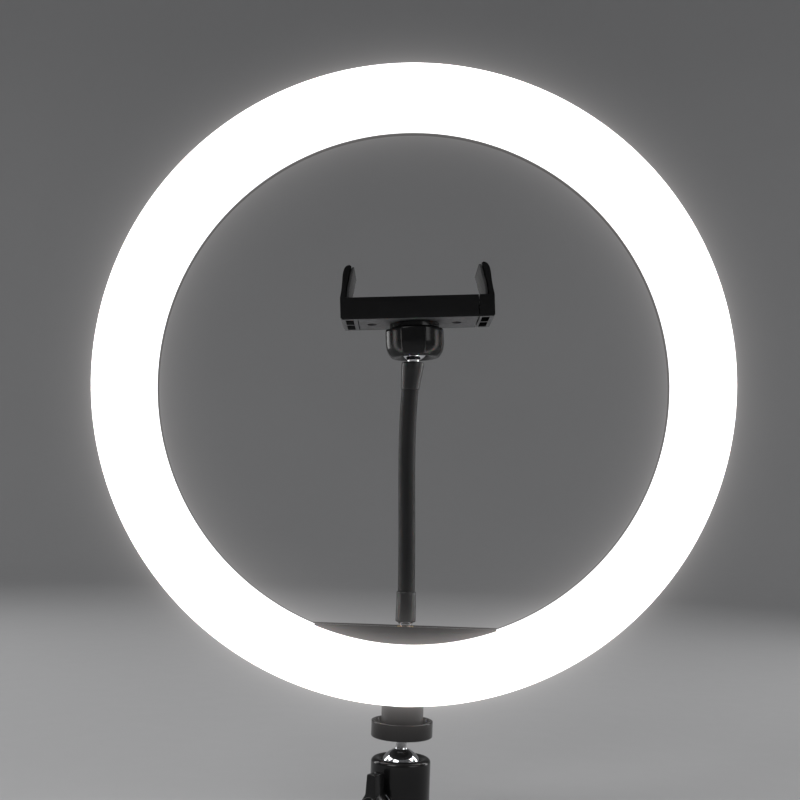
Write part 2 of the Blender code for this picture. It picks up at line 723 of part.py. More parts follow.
def clamp_body(frame):
    """Hollow bar with the fixed jaw at its left end, open below and at its right end."""
    outside, inside = jaw_curve()
    bed = CLAMP_Z[1]
    outline = [
        (CLAMP_SEAM, CLAMP_Z[0]), (CLAMP_SEAM, bed),
        *[(CLAMP_LEFT + u, bed + v) for u, v in inside[::-1]],
        *[(CLAMP_LEFT + u, bed + v) for u, v in outside[::-1]],
        (CLAMP_LEFT, CLAMP_Z[0] + 0.8), (CLAMP_LEFT + 0.8, CLAMP_Z[0]),
    ]
    body = clamp_slab("clamp_body", outline, CLAMP_HALF_DEPTH, gloss_black(), frame)
    hollow = box(
        "clamp_hollow", (HOLLOW_LEFT, -HOLLOW_HALF_DEPTH, CLAMP_Z[0] - 1.0),
        (CLAMP_SEAM + 1.0, HOLLOW_HALF_DEPTH, HOLLOW_TOP), satin_grey(), frame,
    )
    cut(body, hollow)
    end_pockets(body, CLAMP_LEFT + POCKET_INSET, frame)
    x, y = BED_PAD[0] + GAP, BED_PAD[1] + GAP
    recess = box("bed_recess", (-x, -y, bed - 0.9), (x, y, bed + 1.0), satin_grey(), frame)
    cut(body, recess)
    return body


def clamp_back_plate(frame):
    """Underside cover, let in between the bar's walls and held by two screws."""
    plate = box(
        "clamp_back_plate", (HOLLOW_LEFT + GAP, GAP - HOLLOW_HALF_DEPTH, CLAMP_Z[0]),
        (CLAMP_SEAM - GAP, HOLLOW_HALF_DEPTH - GAP, BACK_PLATE_TOP), satin_grey(), frame,
    )
    profile = [(0.0, 9.9), (1.5, 9.9), (1.5, 10.5), (0.7, 10.5), (0.7, 11.5), (0.0, 11.5)]
    for i, side in enumerate((-1, 1)):
        x = side * PLATE_SCREW_X
        hole = rod(f"plate_hole_{i}", 1.0, 8.0, 13.0, satin_grey(), frame, 12)
        recess = rod(f"plate_recess_{i}", 1.8, 8.0, 10.8, satin_grey(), frame, 16)
        screw = lathe(f"plate_screw_{i + 1}", profile, steel(), frame, 12)
        for piece in (hole, recess, screw):
            piece.location = (x * MM, 0.0, 0.0)
        cut(plate, hole)
        cut(plate, recess)


def sliding_jaw(frame):
    """Right-hand jaw with the flat tongue that slides inside the bar."""
    outside, inside = jaw_curve()
    low, bed = CLAMP_Z
    left = CLAMP_SEAM + GAP
    outline = [
        (left, bed - 0.4), (left, low), (CLAMP_RIGHT - 0.6, low), (CLAMP_RIGHT + 0.2, low + 0.6),
        (CLAMP_RIGHT, low + 1.4),
        *[(CLAMP_RIGHT - u, bed + v) for u, v in outside],
        *[(CLAMP_RIGHT - u, bed + v) for u, v in inside],
        (left + 0.4, bed),
    ]
    jaw = clamp_slab("sliding_jaw", outline, CLAMP_HALF_DEPTH, gloss_black(), frame)
    tongue = box(
        "tongue_solid", (TONGUE_LEFT, -TONGUE_HALF_DEPTH, TONGUE_Z[0]),
        (left + 1.0, TONGUE_HALF_DEPTH, TONGUE_Z[1]), gloss_black(), frame,
    )
    join(jaw, tongue)
    end_pockets(jaw, CLAMP_RIGHT - POCKET_INSET, frame)


def jaw_pads(frame):
    bed = CLAMP_Z[1]
    left = [(CLAMP_LEFT + u, bed + v) for u, v in pad_outline()]
    right = [(CLAMP_RIGHT - u, bed + v) for u, v in pad_outline()]
    clamp_slab("fixed_jaw_pad", left, JAW_PAD_HALF_DEPTH, soft_rubber(), frame)
    clamp_slab("sliding_jaw_pad", right, JAW_PAD_HALF_DEPTH, soft_rubber(), frame)
    x, y = BED_PAD
    box("bed_pad", (-x, -y, bed - 0.6), (x, y, bed + 0.3), soft_rubber(), frame)


def clamp_springs(frame):
    """Outer shapes of the two return springs, from the bar's left wall to the sliding jaw."""
    middle_z = sum(TONGUE_Z) / 2
    for i, side in enumerate((-1, 1)):
        spring = rod(
            f"clamp_spring_{i + 1}", SPRING_R, HOLLOW_LEFT + GAP, CLAMP_SEAM, steel(), frame, 12
        )
        aim(spring, (1.0, 0.0, 0.0), (0.0, side * SPRING_Y, middle_z))


def main():
    clear_scene()
    axis = ring_axis()
    rear_housing(axis)
    diffuser(axis)
    led_board(axis)
    ring_screws(axis)
    cable_gland(axis)
    neck_insert()
    holder_block()
    ball_head_housing()
    base_insert()
    ball_seat()
    lock_knob()
    ball_stud()
    locking_disc()
    neck_axis = empty("gooseneck_axis", (0.0, HOLDER_Y, 0.0))
    gooseneck_stud(neck_axis)
    lower_ferrule(neck_axis)
    upper_ferrule(gooseneck_links())
    frame = empty("clamp_frame", (0.0, HOLDER_Y, CLAMP_BALL_Z), (0.0, -CLAMP_LEAN, 0.0))
    clamp_lock_nut(frame)
    clamp_socket(frame)
    clamp_body(frame)
    clamp_back_plate(frame)
    sliding_jaw(frame)
    jaw_pads(frame)
    clamp_springs(frame)


main()
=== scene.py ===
"""Looks of the ring light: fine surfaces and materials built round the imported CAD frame.

Outlines and sizes are in millimetres and become metres in solid(). Places come from the
frame's node boxes and joints.
"""

import json
import math

import bmesh
import bpy
from mathutils import Matrix, Vector


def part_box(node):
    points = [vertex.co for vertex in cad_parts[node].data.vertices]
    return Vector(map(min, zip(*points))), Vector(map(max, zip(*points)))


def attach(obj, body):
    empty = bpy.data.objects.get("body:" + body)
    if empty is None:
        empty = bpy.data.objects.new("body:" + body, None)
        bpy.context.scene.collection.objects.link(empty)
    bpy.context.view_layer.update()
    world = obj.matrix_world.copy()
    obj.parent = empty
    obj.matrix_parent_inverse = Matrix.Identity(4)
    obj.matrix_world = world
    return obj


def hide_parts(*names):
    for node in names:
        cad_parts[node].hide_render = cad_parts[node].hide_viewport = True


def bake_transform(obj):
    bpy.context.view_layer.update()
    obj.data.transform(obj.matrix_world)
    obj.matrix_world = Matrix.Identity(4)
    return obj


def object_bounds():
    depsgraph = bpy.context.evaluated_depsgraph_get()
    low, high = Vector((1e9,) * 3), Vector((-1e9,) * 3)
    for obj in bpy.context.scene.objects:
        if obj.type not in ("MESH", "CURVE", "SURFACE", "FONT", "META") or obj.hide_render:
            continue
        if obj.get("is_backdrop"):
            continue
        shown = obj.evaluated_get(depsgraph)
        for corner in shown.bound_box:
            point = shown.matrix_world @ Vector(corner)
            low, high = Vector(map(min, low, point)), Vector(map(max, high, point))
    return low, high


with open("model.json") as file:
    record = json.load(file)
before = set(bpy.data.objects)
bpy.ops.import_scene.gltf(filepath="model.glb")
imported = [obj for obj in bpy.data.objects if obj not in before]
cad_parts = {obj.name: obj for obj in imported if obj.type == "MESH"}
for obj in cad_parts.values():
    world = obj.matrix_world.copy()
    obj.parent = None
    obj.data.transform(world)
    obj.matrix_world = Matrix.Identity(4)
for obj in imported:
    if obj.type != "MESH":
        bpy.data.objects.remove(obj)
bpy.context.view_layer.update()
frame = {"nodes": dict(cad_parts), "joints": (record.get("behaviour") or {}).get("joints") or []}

MM = 0.001
joints = {joint["name"]: joint for joint in frame["joints"]}


def node_box(node):
    """A CAD node's lowest and highest corner, in millimetres."""
    low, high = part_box(node)
    return low / MM, high / MM


def joint_place(name):
    return Vector(joints[name]["pos_m"]) / MM


# ------------------------------------------------------------- driving sizes

diffuser_low, diffuser_high = node_box("diffuser")
neck_insert_low, _ = node_box("neck_insert")
block_low, block_high = node_box("holder_block")
head_low, head_high = node_box("ball_head_housing")
disc_low, disc_high = node_box("locking_disc")
ferrule_low, ferrule_high = node_box("lower_ferrule")
upper_low, upper_high = node_box("upper_ferrule")
stud_low, stud_high = node_box("ball_stud")
bar_low, bar_high = node_box("clamp_body")

PARTING = 0.3
RING_CENTRE = (diffuser_low + diffuser_high) / 2
RING_CENTRE.y = 0.0
OUTER_R = (diffuser_high.x - diffuser_low.x) / 2
BAND_WIDTH = 23.5
INNER_R = OUTER_R - BAND_WIDTH
FRONT_Y = diffuser_low.y
SPLIT_Y = diffuser_high.y
WEB_THICK = 2.5
WEB_Y = (block_high.y + PARTING, block_high.y + PARTING + WEB_THICK)
SHELL_DEPTH = 6.0
BACK_Y = SPLIT_Y + SHELL_DEPTH
CHORD_Z = block_high.z
CHORD = CHORD_Z - RING_CENTRE.z
NECK_R = 8.5
NECK_LOW = neck_insert_low.z - 0.4
SCREW_RING_R = 123.8
SHELL_SCREWS = 6
BLOCK_HALF = 37.0
BLOCK_SLOPE = 0.7
WEB_HALF = 39.0
HOLDER_Y = joint_place("gooseneck_pitch").y
LINKS = 11
SLEEVE_R = 3.5
SLEEVE_REACH = 0.4  # how far the sleeve goes into each ferrule
NECK_STUD_R = 2.3
FERRULE_BORE = 8.0
BALL_Z = joint_place("head_tilt").z
BALL_R = BALL_Z - stud_low.z
STUD_TOP = stud_high.z + 0.4
HEAD_BORE_R, HEAD_FLOOR = 9.2, 10.0
STUD_R, STUD_THREAD_R = 2.2, 3.1
CLAMP_BALL_R = 6.0
CLAMP_Z0 = joint_place("clamp_turn").z

# Phone clamp, in its own frame: origin at the upper ball, bed square to local Z
CLAMP_LEFT, CLAMP_RIGHT, CLAMP_SEAM = -29.9, 32.4, 26.0
CLAMP_HALF = (bar_high.y - bar_low.y) / 2
BAR_WALL = 1.5
HOLLOW_HALF = CLAMP_HALF - BAR_WALL
PAD_HALF = CLAMP_HALF - 0.9
BED_PAD_X, BED_PAD_Y = 20.0, 10.0
CLAMP_LOW, BED = 9.7, 18.6

RING = Matrix.Translation(RING_CENTRE) @ Matrix.Rotation(math.radians(-90.0), 4, "X")


def axis_frame(joint):
    """A joint's own frame: its place, with local +Z along its axis and local +Y kept upright."""
    along = Vector(joints[joint]["axis"]).normalized()
    side = Vector((0.0, 0.0, 1.0)).cross(along).normalized()
    turn = Matrix((side, along.cross(side), along)).transposed().to_4x4()
    return Matrix.Translation(joint_place(joint)) @ turn


KNOB = axis_frame("knob_turn")
clamp_up = Vector(joints["clamp_turn"]["axis"])
CLAMP_LEAN = -math.atan2(clamp_up.x, clamp_up.z)
CLAMP = Matrix.Translation(joint_place("clamp_turn")) @ Matrix.Rotation(-CLAMP_LEAN, 4, "Y")


# ------------------------------------------------------------------- nodes


class Nodes:
    """A short way to write a material's node tree."""

    def __init__(self, name):
        self.material = bpy.data.materials.new(name)
        self.material.use_nodes = True
        self.tree = self.material.node_tree
        self.shader = self.tree.nodes["Principled BSDF"]
        self.place = self.tree.nodes.new("ShaderNodeTexCoord").outputs["Object"]

    def link(self, start, end):
        self.tree.links.new(start, end)

    def stretched(self, scale):
        node = self.tree.nodes.new("ShaderNodeMapping")
        node.inputs["Scale"].default_value = scale
        self.link(self.place, node.inputs["Vector"])
        return node.outputs["Vector"]

    def noise(self, scale, detail=3.0, roughness=0.5, vector=None):
        node = self.tree.nodes.new("ShaderNodeTexNoise")
        node.inputs["Scale"].default_value = scale
        node.inputs["Detail"].default_value = detail
        node.inputs["Roughness"].default_value = roughness
        self.link(vector or self.place, node.inputs["Vector"])
        return node.outputs["Fac"]

    def waves(self, scale, direction, distortion=0.0):
        node = self.tree.nodes.new("ShaderNodeTexWave")
        node.bands_direction = direction
        node.inputs["Scale"].default_value = scale
        node.inputs["Distortion"].default_value = distortion
        self.link(self.place, node.inputs["Vector"])
        return node.outputs["Fac"]

    def spread(self, value, low, high, to_low, to_high):
        node = self.tree.nodes.new("ShaderNodeMapRange")
        for name, number in zip(("From Min", "From Max", "To Min", "To Max"), (low, high, to_low, to_high)):
            node.inputs[name].default_value = number
        self.link(value, node.inputs["Value"])
        return node.outputs["Result"]

    def between(self, value, first, second):
        node = self.tree.nodes.new("ShaderNodeMix")
        node.data_type = "RGBA"
        colours = [socket for socket in node.inputs if socket.type == "RGBA"]
        colours[0].default_value = (*first, 1.0)
        colours[1].default_value = (*second, 1.0)
        self.link(value, node.inputs["Factor"])
        return [socket for socket in node.outputs if socket.type == "RGBA"][0]

    def maths(self, operation, first, second):
        node = self.tree.nodes.new("ShaderNodeMath")
        node.operation = operation
        for socket, value in zip(node.inputs, (first, second)):
            if isinstance(value, float):
                socket.default_value = value
            else:
                self.link(value, socket)
        return node.outputs["Value"]

    def set(self, **values):
        for name, value in values.items():
            self.shader.inputs[name.replace("_", " ")].default_value = value

    def colour(self, socket):
        self.link(socket, self.shader.inputs["Base Color"])

    def roughness(self, socket):
        self.link(socket, self.shader.inputs["Roughness"])

    def bumps(self, *layers):
        """Each layer is (height, strength, distance in millimetres), from the finest down."""
        normal = None
        for height, strength, distance in layers:
            node = self.tree.nodes.new("ShaderNodeBump")
            node.inputs["Strength"].default_value = strength
            node.inputs["Distance"].default_value = distance * MM
            self.link(height, node.inputs["Height"])
            if normal:
                self.link(normal, node.inputs["Normal"])
            normal = node.outputs["Normal"]
        self.link(normal, self.shader.inputs["Normal"])


def gloss_plastic():
    """Black moulded plastic: nearly mirror smooth, faintly uneven, with a little dust."""
    n = Nodes("gloss_black")
    cloudy = n.noise(70.0, 3.0)
    dust = n.spread(n.noise(2600.0, 2.0, 0.7), 0.66, 0.8, 0.0, 1.0)
    tone = n.maths("ADD", n.spread(cloudy, 0.3, 0.7, 0.0, 0.35), n.maths("MULTIPLY", dust, 0.4))
    n.colour(n.between(tone, (0.003, 0.003, 0.0032), (0.010, 0.010, 0.0105)))
    n.roughness(n.spread(n.noise(160.0, 4.0), 0.3, 0.7, 0.13, 0.24))
    n.set(Specular_IOR_Level=0.32)
    n.bumps((n.noise(1500.0, 2.0), 0.05, 0.05), (n.noise(220.0, 2.0), 0.08, 0.15))
    return n.material


def satin_plastic():
    """Spark-eroded dark grey plastic, as on the clamp's underside."""
    n = Nodes("satin_grey")
    tone = n.spread(n.noise(240.0, 4.0), 0.3, 0.7, 0.0, 1.0)
    n.colour(n.between(tone, (0.10, 0.10, 0.102), (0.145, 0.145, 0.148)))
    n.roughness(n.spread(n.noise(900.0, 3.0), 0.3, 0.7, 0.42, 0.58))
    n.bumps((n.noise(5200.0, 2.0, 0.6), 0.35, 0.05), (n.noise(1400.0, 2.0), 0.15, 0.05))
    return n.material


def ferrule_plastic():
    """Smooth satin black ends of the gooseneck."""
    n = Nodes("ferrule_black")
    tone = n.spread(n.noise(300.0, 3.0), 0.3, 0.7, 0.0, 1.0)
    n.colour(n.between(tone, (0.007, 0.007, 0.0073), (0.014, 0.014, 0.0145)))
    n.roughness(n.spread(n.noise(500.0, 3.0), 0.3, 0.7, 0.3, 0.42))
    n.bumps((n.noise(3000.0, 2.0), 0.15, 0.04))
    return n.material


def sleeve_rubber():
    """Soft black sleeve drawn over the gooseneck's coil, whose turns just show through."""
    n = Nodes("sleeve_black")
    tone = n.spread(n.noise(180.0, 4.0, vector=n.stretched((1.0, 1.0, 0.25))), 0.3, 0.7, 0.0, 1.0)
    n.colour(n.between(tone, (0.005, 0.005, 0.0053), (0.011, 0.011, 0.0115)))
    n.roughness(n.spread(n.noise(420.0, 3.0), 0.3, 0.7, 0.44, 0.58))
    turns = n.waves(180.0, "Z", 0.4)
    drawn = n.noise(2200.0, 2.0, vector=n.stretched((1.0, 1.0, 0.12)))
    n.bumps((drawn, 0.12, 0.04), (turns, 0.10, 0.06))
    n.set(Specular_IOR_Level=0.3)
    return n.material


def pad_rubber():
    """Matt rubber with a fine grain and a grey bloom."""
    n = Nodes("pad_rubber")
    tone = n.spread(n.noise(350.0, 4.0), 0.3, 0.7, 0.0, 1.0)
    n.colour(n.between(tone, (0.022, 0.022, 0.023), (0.045, 0.045, 0.046)))
    n.roughness(n.spread(n.noise(800.0, 3.0), 0.3, 0.7, 0.62, 0.8))
    n.bumps((n.noise(6000.0, 2.0, 0.6), 0.35, 0.04))
    n.set(Sheen_Weight=0.15, Sheen_Roughness=0.5)
    return n.material


def chrome():
    n = Nodes("chrome")
    n.set(Metallic=1.0)
    tone = n.spread(n.noise(120.0, 3.0), 0.3, 0.7, 0.0, 1.0)
    n.colour(n.between(tone, (0.76, 0.77, 0.79), (0.86, 0.87, 0.89)))
    n.roughness(n.spread(n.noise(700.0, 4.0), 0.3, 0.7, 0.03, 0.1))
    scratches = n.noise(2400.0, 2.0, vector=n.stretched((1.0, 1.0, 6.0)))
    n.bumps((scratches, 0.04, 0.02))
    return n.material


def zinc():
    """Zinc-plated screws and springs."""
    n = Nodes("zinc_steel")
    n.set(Metallic=1.0)
    tone = n.spread(n.noise(900.0, 4.0), 0.3, 0.7, 0.0, 1.0)
    n.colour(n.between(tone, (0.42, 0.42, 0.43), (0.62, 0.62, 0.61)))
    n.roughness(n.spread(n.noise(2500.0, 3.0), 0.3, 0.7, 0.22, 0.42))
    n.bumps((n.noise(4200.0, 2.0), 0.12, 0.03))
    return n.material


def brass():
    n = Nodes("brass")
    n.set(Metallic=1.0)
    tone = n.spread(n.noise(600.0, 4.0), 0.3, 0.7, 0.0, 1.0)
    n.colour(n.between(tone, (0.62, 0.43, 0.17), (0.80, 0.60, 0.28)))
    n.roughness(n.spread(n.noise(1500.0, 3.0), 0.3, 0.7, 0.2, 0.36))
    n.bumps((n.noise(3600.0, 2.0), 0.12, 0.03))
    return n.material


def nylon():
    n = Nodes("nylon")
    tone = n.spread(n.noise(300.0, 3.0), 0.3, 0.7, 0.0, 1.0)
    n.colour(n.between(tone, (0.62, 0.61, 0.57), (0.74, 0.73, 0.69)))
    n.roughness(n.spread(n.noise(900.0, 3.0), 0.3, 0.7, 0.38, 0.5))
    n.set(Subsurface_Weight=0.1)
    n.bumps((n.noise(3600.0, 2.0), 0.1, 0.03))
    return n.material


def milky_plastic():
    """Lit opal plastic. The front glows most; the walls fall to half of it at the shell."""
    n = Nodes("milky_diffuser")
    split = n.tree.nodes.new("ShaderNodeSeparateXYZ")
    n.link(n.place, split.inputs[0])
    depth = n.spread(split.outputs["Y"], (FRONT_Y + 2.0) * MM, SPLIT_Y * MM, 2.0, 1.0)
    faint = n.spread(n.noise(26.0, 2.0), 0.3, 0.7, 0.97, 1.03)
    n.link(n.maths("MULTIPLY", depth, faint), n.shader.inputs["Emission Strength"])
    n.set(Emission_Color=(1.0, 1.0, 1.0, 1.0), Subsurface_Weight=0.2, Specular_IOR_Level=0.4)
    n.colour(n.between(n.noise(40.0, 2.0), (0.90, 0.91, 0.92), (0.94, 0.945, 0.95)))
    n.roughness(n.spread(n.noise(700.0, 3.0), 0.3, 0.7, 0.32, 0.42))
    n.bumps((n.noise(2600.0, 2.0), 0.08, 0.03))
    return n.material


def board_white():
    n = Nodes("white_board")
    n.set(Emission_Color=(1.0, 0.97, 0.92, 1.0), Emission_Strength=0.4)
    n.colour(n.between(n.noise(300.0, 3.0), (0.78, 0.79, 0.78), (0.86, 0.87, 0.86)))
    n.roughness(n.spread(n.noise(900.0, 3.0), 0.3, 0.7, 0.4, 0.55))
    n.bumps((n.noise(3000.0, 2.0), 0.1, 0.03))
    return n.material


def shell_plastic():
    """The back's black plastic, with a fine moulded grain."""
    n = Nodes("shell_black")
    tone = n.spread(n.noise(120.0, 4.0), 0.3, 0.7, 0.0, 1.0)
    n.colour(n.between(tone, (0.008, 0.008, 0.0083), (0.016, 0.016, 0.0165)))
    n.roughness(n.spread(n.noise(600.0, 3.0), 0.3, 0.7, 0.34, 0.46))
    n.bumps((n.noise(4200.0, 2.0, 0.6), 0.3, 0.04), (n.noise(1200.0, 2.0), 0.12, 0.05))
    return n.material


def plinth_plastic():
    """Satin black of the holder block."""
    n = Nodes("plinth_black")
    tone = n.spread(n.noise(160.0, 4.0), 0.3, 0.7, 0.0, 1.0)
    n.colour(n.between(tone, (0.008, 0.008, 0.0083), (0.016, 0.016, 0.0165)))
    n.roughness(n.spread(n.noise(700.0, 3.0), 0.3, 0.7, 0.36, 0.5))
    n.bumps((n.noise(4200.0, 2.0, 0.6), 0.25, 0.04))
    return n.material


def painted_light_top_plastic():
    """The holder block's top: lighter and smoother than its front; the lighter colour is a painted highlight
    for the ring's light on it.
    """
    n = Nodes("plinth_top_painted_light")
    tone = n.spread(n.noise(160.0, 4.0), 0.3, 0.7, 0.0, 1.0)
    # Painted highlight: a base colour several times lighter than the front's, standing in for the ring's
    # light on the top.
    n.colour(n.between(tone, (0.06, 0.06, 0.0605), (0.09, 0.09, 0.0905)))
    n.roughness(n.spread(n.noise(700.0, 3.0), 0.3, 0.7, 0.2, 0.32))
    n.bumps((n.noise(4200.0, 2.0, 0.6), 0.1, 0.03))
    return n.material


def painted_shade_steel():
    """Near-black heads of the cover's screws: painted shade for the dark of the wells they sit in."""
    n = Nodes("painted_shade_steel")
    n.set(Metallic=1.0)
    # Painted shade: a near-black metal colour standing in for the shadow in the screw wells.
    n.colour(n.between(n.noise(900.0, 4.0), (0.02, 0.02, 0.021), (0.05, 0.05, 0.052)))
    n.roughness(n.spread(n.noise(2500.0, 3.0), 0.3, 0.7, 0.3, 0.5))
    n.bumps((n.noise(4200.0, 2.0), 0.1, 0.02))
    return n.material


def dark_steel():
    """Grey steel of the gooseneck's stud and of the stem over the ball."""
    n = Nodes("dark_steel")
    n.set(Metallic=1.0)
    tone = n.spread(n.noise(900.0, 4.0), 0.3, 0.7, 0.0, 1.0)
    n.colour(n.between(tone, (0.3, 0.3, 0.305), (0.5, 0.5, 0.505)))
    n.roughness(n.spread(n.noise(2500.0, 3.0), 0.3, 0.7, 0.16, 0.3))
    n.bumps((n.noise(4200.0, 2.0), 0.1, 0.02))
    return n.material


GLOSS = gloss_plastic()
SATIN = satin_plastic()
FERRULE = ferrule_plastic()
SLEEVE = sleeve_rubber()
RUBBER = pad_rubber()
CHROME = chrome()
ZINC = zinc()
BRASS = brass()
NYLON = nylon()
MILK = milky_plastic()
BOARD = board_white()
SHELL = shell_plastic()
PLINTH = plinth_plastic()
DARK_STEEL = dark_steel()
PAINTED_SHADE_SCREWS = painted_shade_steel()
PAINTED_LIGHT_TOP = painted_light_top_plastic()


# ------------------------------------------------------------------ meshes


def arc(centre, radius, start, end, steps):
    """Points along an arc from one angle to another, both in degrees."""
    turns = [math.radians(start + (end - start) * i / steps) for i in range(steps + 1)]
    return [(centre[0] + radius * math.cos(t), centre[1] + radius * math.sin(t)) for t in turns]


def smooth(points, steps=5):
    """A curve through the points, rounded between them (Catmull-Rom)."""
    ends = [points[0], *points, points[-1]]
    curve = []
    for before, start, end, after in zip(ends, ends[1:], ends[2:], ends[3:]):
        for i in range(steps):
            t = i / steps
            curve.append(tuple(
                0.5 * (
                    2 * b + (c - a) * t + (2 * a - 5 * b + 4 * c - d) * t**2
                    + (3 * b - a - 3 * c + d) * t**3
                )
                for a, b, c, d in zip(before, start, end, after)
            ))
    return [*curve, points[-1]]


def rounded(points, radius, steps=4):
    """A closed outline with each corner replaced by a curve that starts a radius away from it."""
    made = []
    for before, corner, after in zip(points[-1:] + points[:-1], points, points[1:] + points[:1]):
        corner = Vector(corner)
        reach = [Vector(p) - corner for p in (before, after)]
        start, end = (corner + way.normalized() * min(radius, way.length * 0.45) for way in reach)
        for i in range(steps + 1):
            t = i / steps
            made.append(tuple(start.lerp(corner, t).lerp(corner.lerp(end, t), t)))
    return made


def lathe(profile, steps=64, closed=False):
    """The profile's (radius, height) points turned about Z. A closed one never meets the axis."""
    bm = bmesh.new()
    verts = [bm.verts.new((r, 0.0, h)) for r, h in profile]
    edges = [bm.edges.new(pair) for pair in zip(verts, verts[1:])]
    if closed:
        edges.append(bm.edges.new((verts[-1], verts[0])))
    bmesh.ops.spin(
        bm, geom=verts + edges, cent=(0, 0, 0), axis=(0, 0, 1), angle=2 * math.pi, steps=steps, use_merge=True
    )
    bmesh.ops.remove_doubles(bm, verts=bm.verts, dist=1e-4)
    bmesh.ops.dissolve_degenerate(bm, edges=bm.edges, dist=1e-4)
    return bm


def prism(outline, low, high):
    """An outline of (x, y) points between two heights."""
    bm = bmesh.new()
    face = bm.faces.new([bm.verts.new((x, y, low)) for x, y in outline])
    top = bmesh.ops.extrude_face_region(bm, geom=[face])["geom"]
    moved = [v for v in top if isinstance(v, bmesh.types.BMVert)]
    bmesh.ops.translate(bm, verts=moved, vec=(0.0, 0.0, high - low))
    return bm


def block(low, high):
    corners = [(low[0], low[1]), (high[0], low[1]), (high[0], high[1]), (low[0], high[1])]
    return prism(corners, low[2], high[2])


def rod(radius, low, high, steps=32):
    return lathe([(0.0, low), (radius, low), (radius, high), (0.0, high)], steps)


def soften(made):
    made.data.shade_smooth()
    made.data.set_sharp_from_angle(angle=math.radians(32.0))


def solid(name, bm, look, place=None):
    """An object from a bmesh drawn in millimetres; place takes it to where it stands."""
    bmesh.ops.remove_doubles(bm, verts=bm.verts, dist=1e-4)
    bmesh.ops.recalc_face_normals(bm, faces=bm.faces)
    if place:
        bm.transform(place)
    bm.transform(Matrix.Scale(MM, 4))
    mesh = bpy.data.meshes.new(name)
    bm.to_mesh(mesh)
    bm.free()
    mesh.materials.append(look)
    made = bpy.data.objects.new(name, mesh)
    bpy.context.scene.collection.objects.link(made)
    soften(made)
    return made


def settle(made):
    """Applies an object's modifiers for good."""
    graph = bpy.context.evaluated_depsgraph_get()
    mesh = bpy.data.meshes.new_from_object(made.evaluated_get(graph))
    made.modifiers.clear()
    made.data = mesh
    soften(made)
    return made


def combine(made, bodies, operation, look=None, place=None):
    """Joins bmeshes onto an object, or cuts them out of it."""
    look = look or made.data.materials[0]
    others = [solid("tool", bm, look, place) for bm in bodies]
    for other in others:
        step = made.modifiers.new("combine", "BOOLEAN")
        step.operation = operation
        step.solver = "EXACT"
        step.object = other
    settle(made)
    for other in others:
        bpy.data.objects.remove(other)
    return made


def round_edges(made, width, segments=3):
    step = made.modifiers.new("edges", "BEVEL")
    step.width = width * MM
    step.segments = segments
    step.limit_method = "ANGLE"
    step.angle_limit = math.radians(35.0)
    return settle(made)


def place_piece(made, slot, body, *nodes):
    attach(made, body)
    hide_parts(*nodes)
    return made


def threaded(inner, outer, low, high, pitch, steps=48, rows=8):
    """Walls of a threaded bush or rod: a grid whose radius follows a V thread round its axis."""
    bm = bmesh.new()
    count = round((high - low) / pitch * rows)
    grid = []
    for j in range(count + 1):
        height = low + (high - low) * j / count
        ring = []
        for i in range(steps):
            phase = (height / pitch - i / steps) % 1.0
            radius = inner + (outer - inner) * abs(2.0 * phase - 1.0)
            turn = 2 * math.pi * i / steps
            ring.append(bm.verts.new((radius * math.cos(turn), radius * math.sin(turn), height)))
        grid.append(ring)
    for lower, upper in zip(grid, grid[1:]):
        for i in range(steps):
            n = (i + 1) % steps
            bm.faces.new((lower[i], lower[n], upper[n], upper[i]))
    return bm, grid[0], grid[-1]


def close_bush(bm, bottom, top, radius, low, high):
    """Adds a smooth outer wall and end rings to a threaded bore."""
    steps = len(bottom)
    turns = [2 * math.pi * i / steps for i in range(steps)]
    rings = []
    for height in (low, high):
        rings.append([bm.verts.new((radius * math.cos(t), radius * math.sin(t), height)) for t in turns])
    for first, second in ((bottom, rings[0]), (rings[0], rings[1]), (rings[1], top)):
        for i in range(steps):
            n = (i + 1) % steps
            bm.faces.new((first[i], first[n], second[n], second[i]))
    return bm


def pan_head(head_r, bottom, top, shank_r, shank_end):
    """Screw profile along its own axis, the head's domed top at the far end."""
    rise = top - bottom
    dome = [(head_r * math.cos(t), bottom + rise * (0.35 + 0.65 * math.sin(t)))
            for t in (math.radians(90.0) * i / 8 for i in range(9))]
    return [(0.0, shank_end), (shank_r * 0.6, shank_end), (shank_r, shank_end + 0.6), (shank_r, bottom),
            (head_r, bottom), *dome[:-1], (0.0, top)]


SCREW_SHANK_R = 0.8


def screw(name, place, body, nodes, head_r, bottom, top, shank_end, look=ZINC):
    """Pan-head screw with a cross recess. Its levels are heights along its own axis."""
    profile = pan_head(head_r, bottom, top, SCREW_SHANK_R, shank_end)
    made = solid(name, lathe(profile, 40), look, place)
    reach, wide, deep = head_r * 0.62, head_r * 0.13, (top - bottom) * 0.75
    arms = [block((-reach, -wide, top - deep), (reach, wide, top + 1.0)),
            block((-wide, -reach, top - deep), (wide, reach, top + 1.0))]
    combine(made, arms, "DIFFERENCE", place=place)
    return place_piece(made, "zinc_steel", body, *nodes)


# --------------------------------------------------------------- ring light


def ring_profile(outer, inner, round_over, edge, flat, steps=8):
    """A ring shell's outside, from its outer edge over a flat to its inner edge."""
    way = 1.0 if flat > edge else -1.0
    level = flat - way * round_over
    points = [(outer, edge)]
    points += arc((outer - round_over, level), round_over, 0.0, 90.0 * way, steps)
    points += arc((inner + round_over, level), round_over, 90.0 * way, 180.0 * way, steps)
    points.append((inner, edge))
    return points


DIFFUSER_WALL = 1.8
DIFFUSER_ROUND = 3.5
SHELL_ROUND = 3.0
SHELL_PLATE = 2.0
RING_STEPS = 224


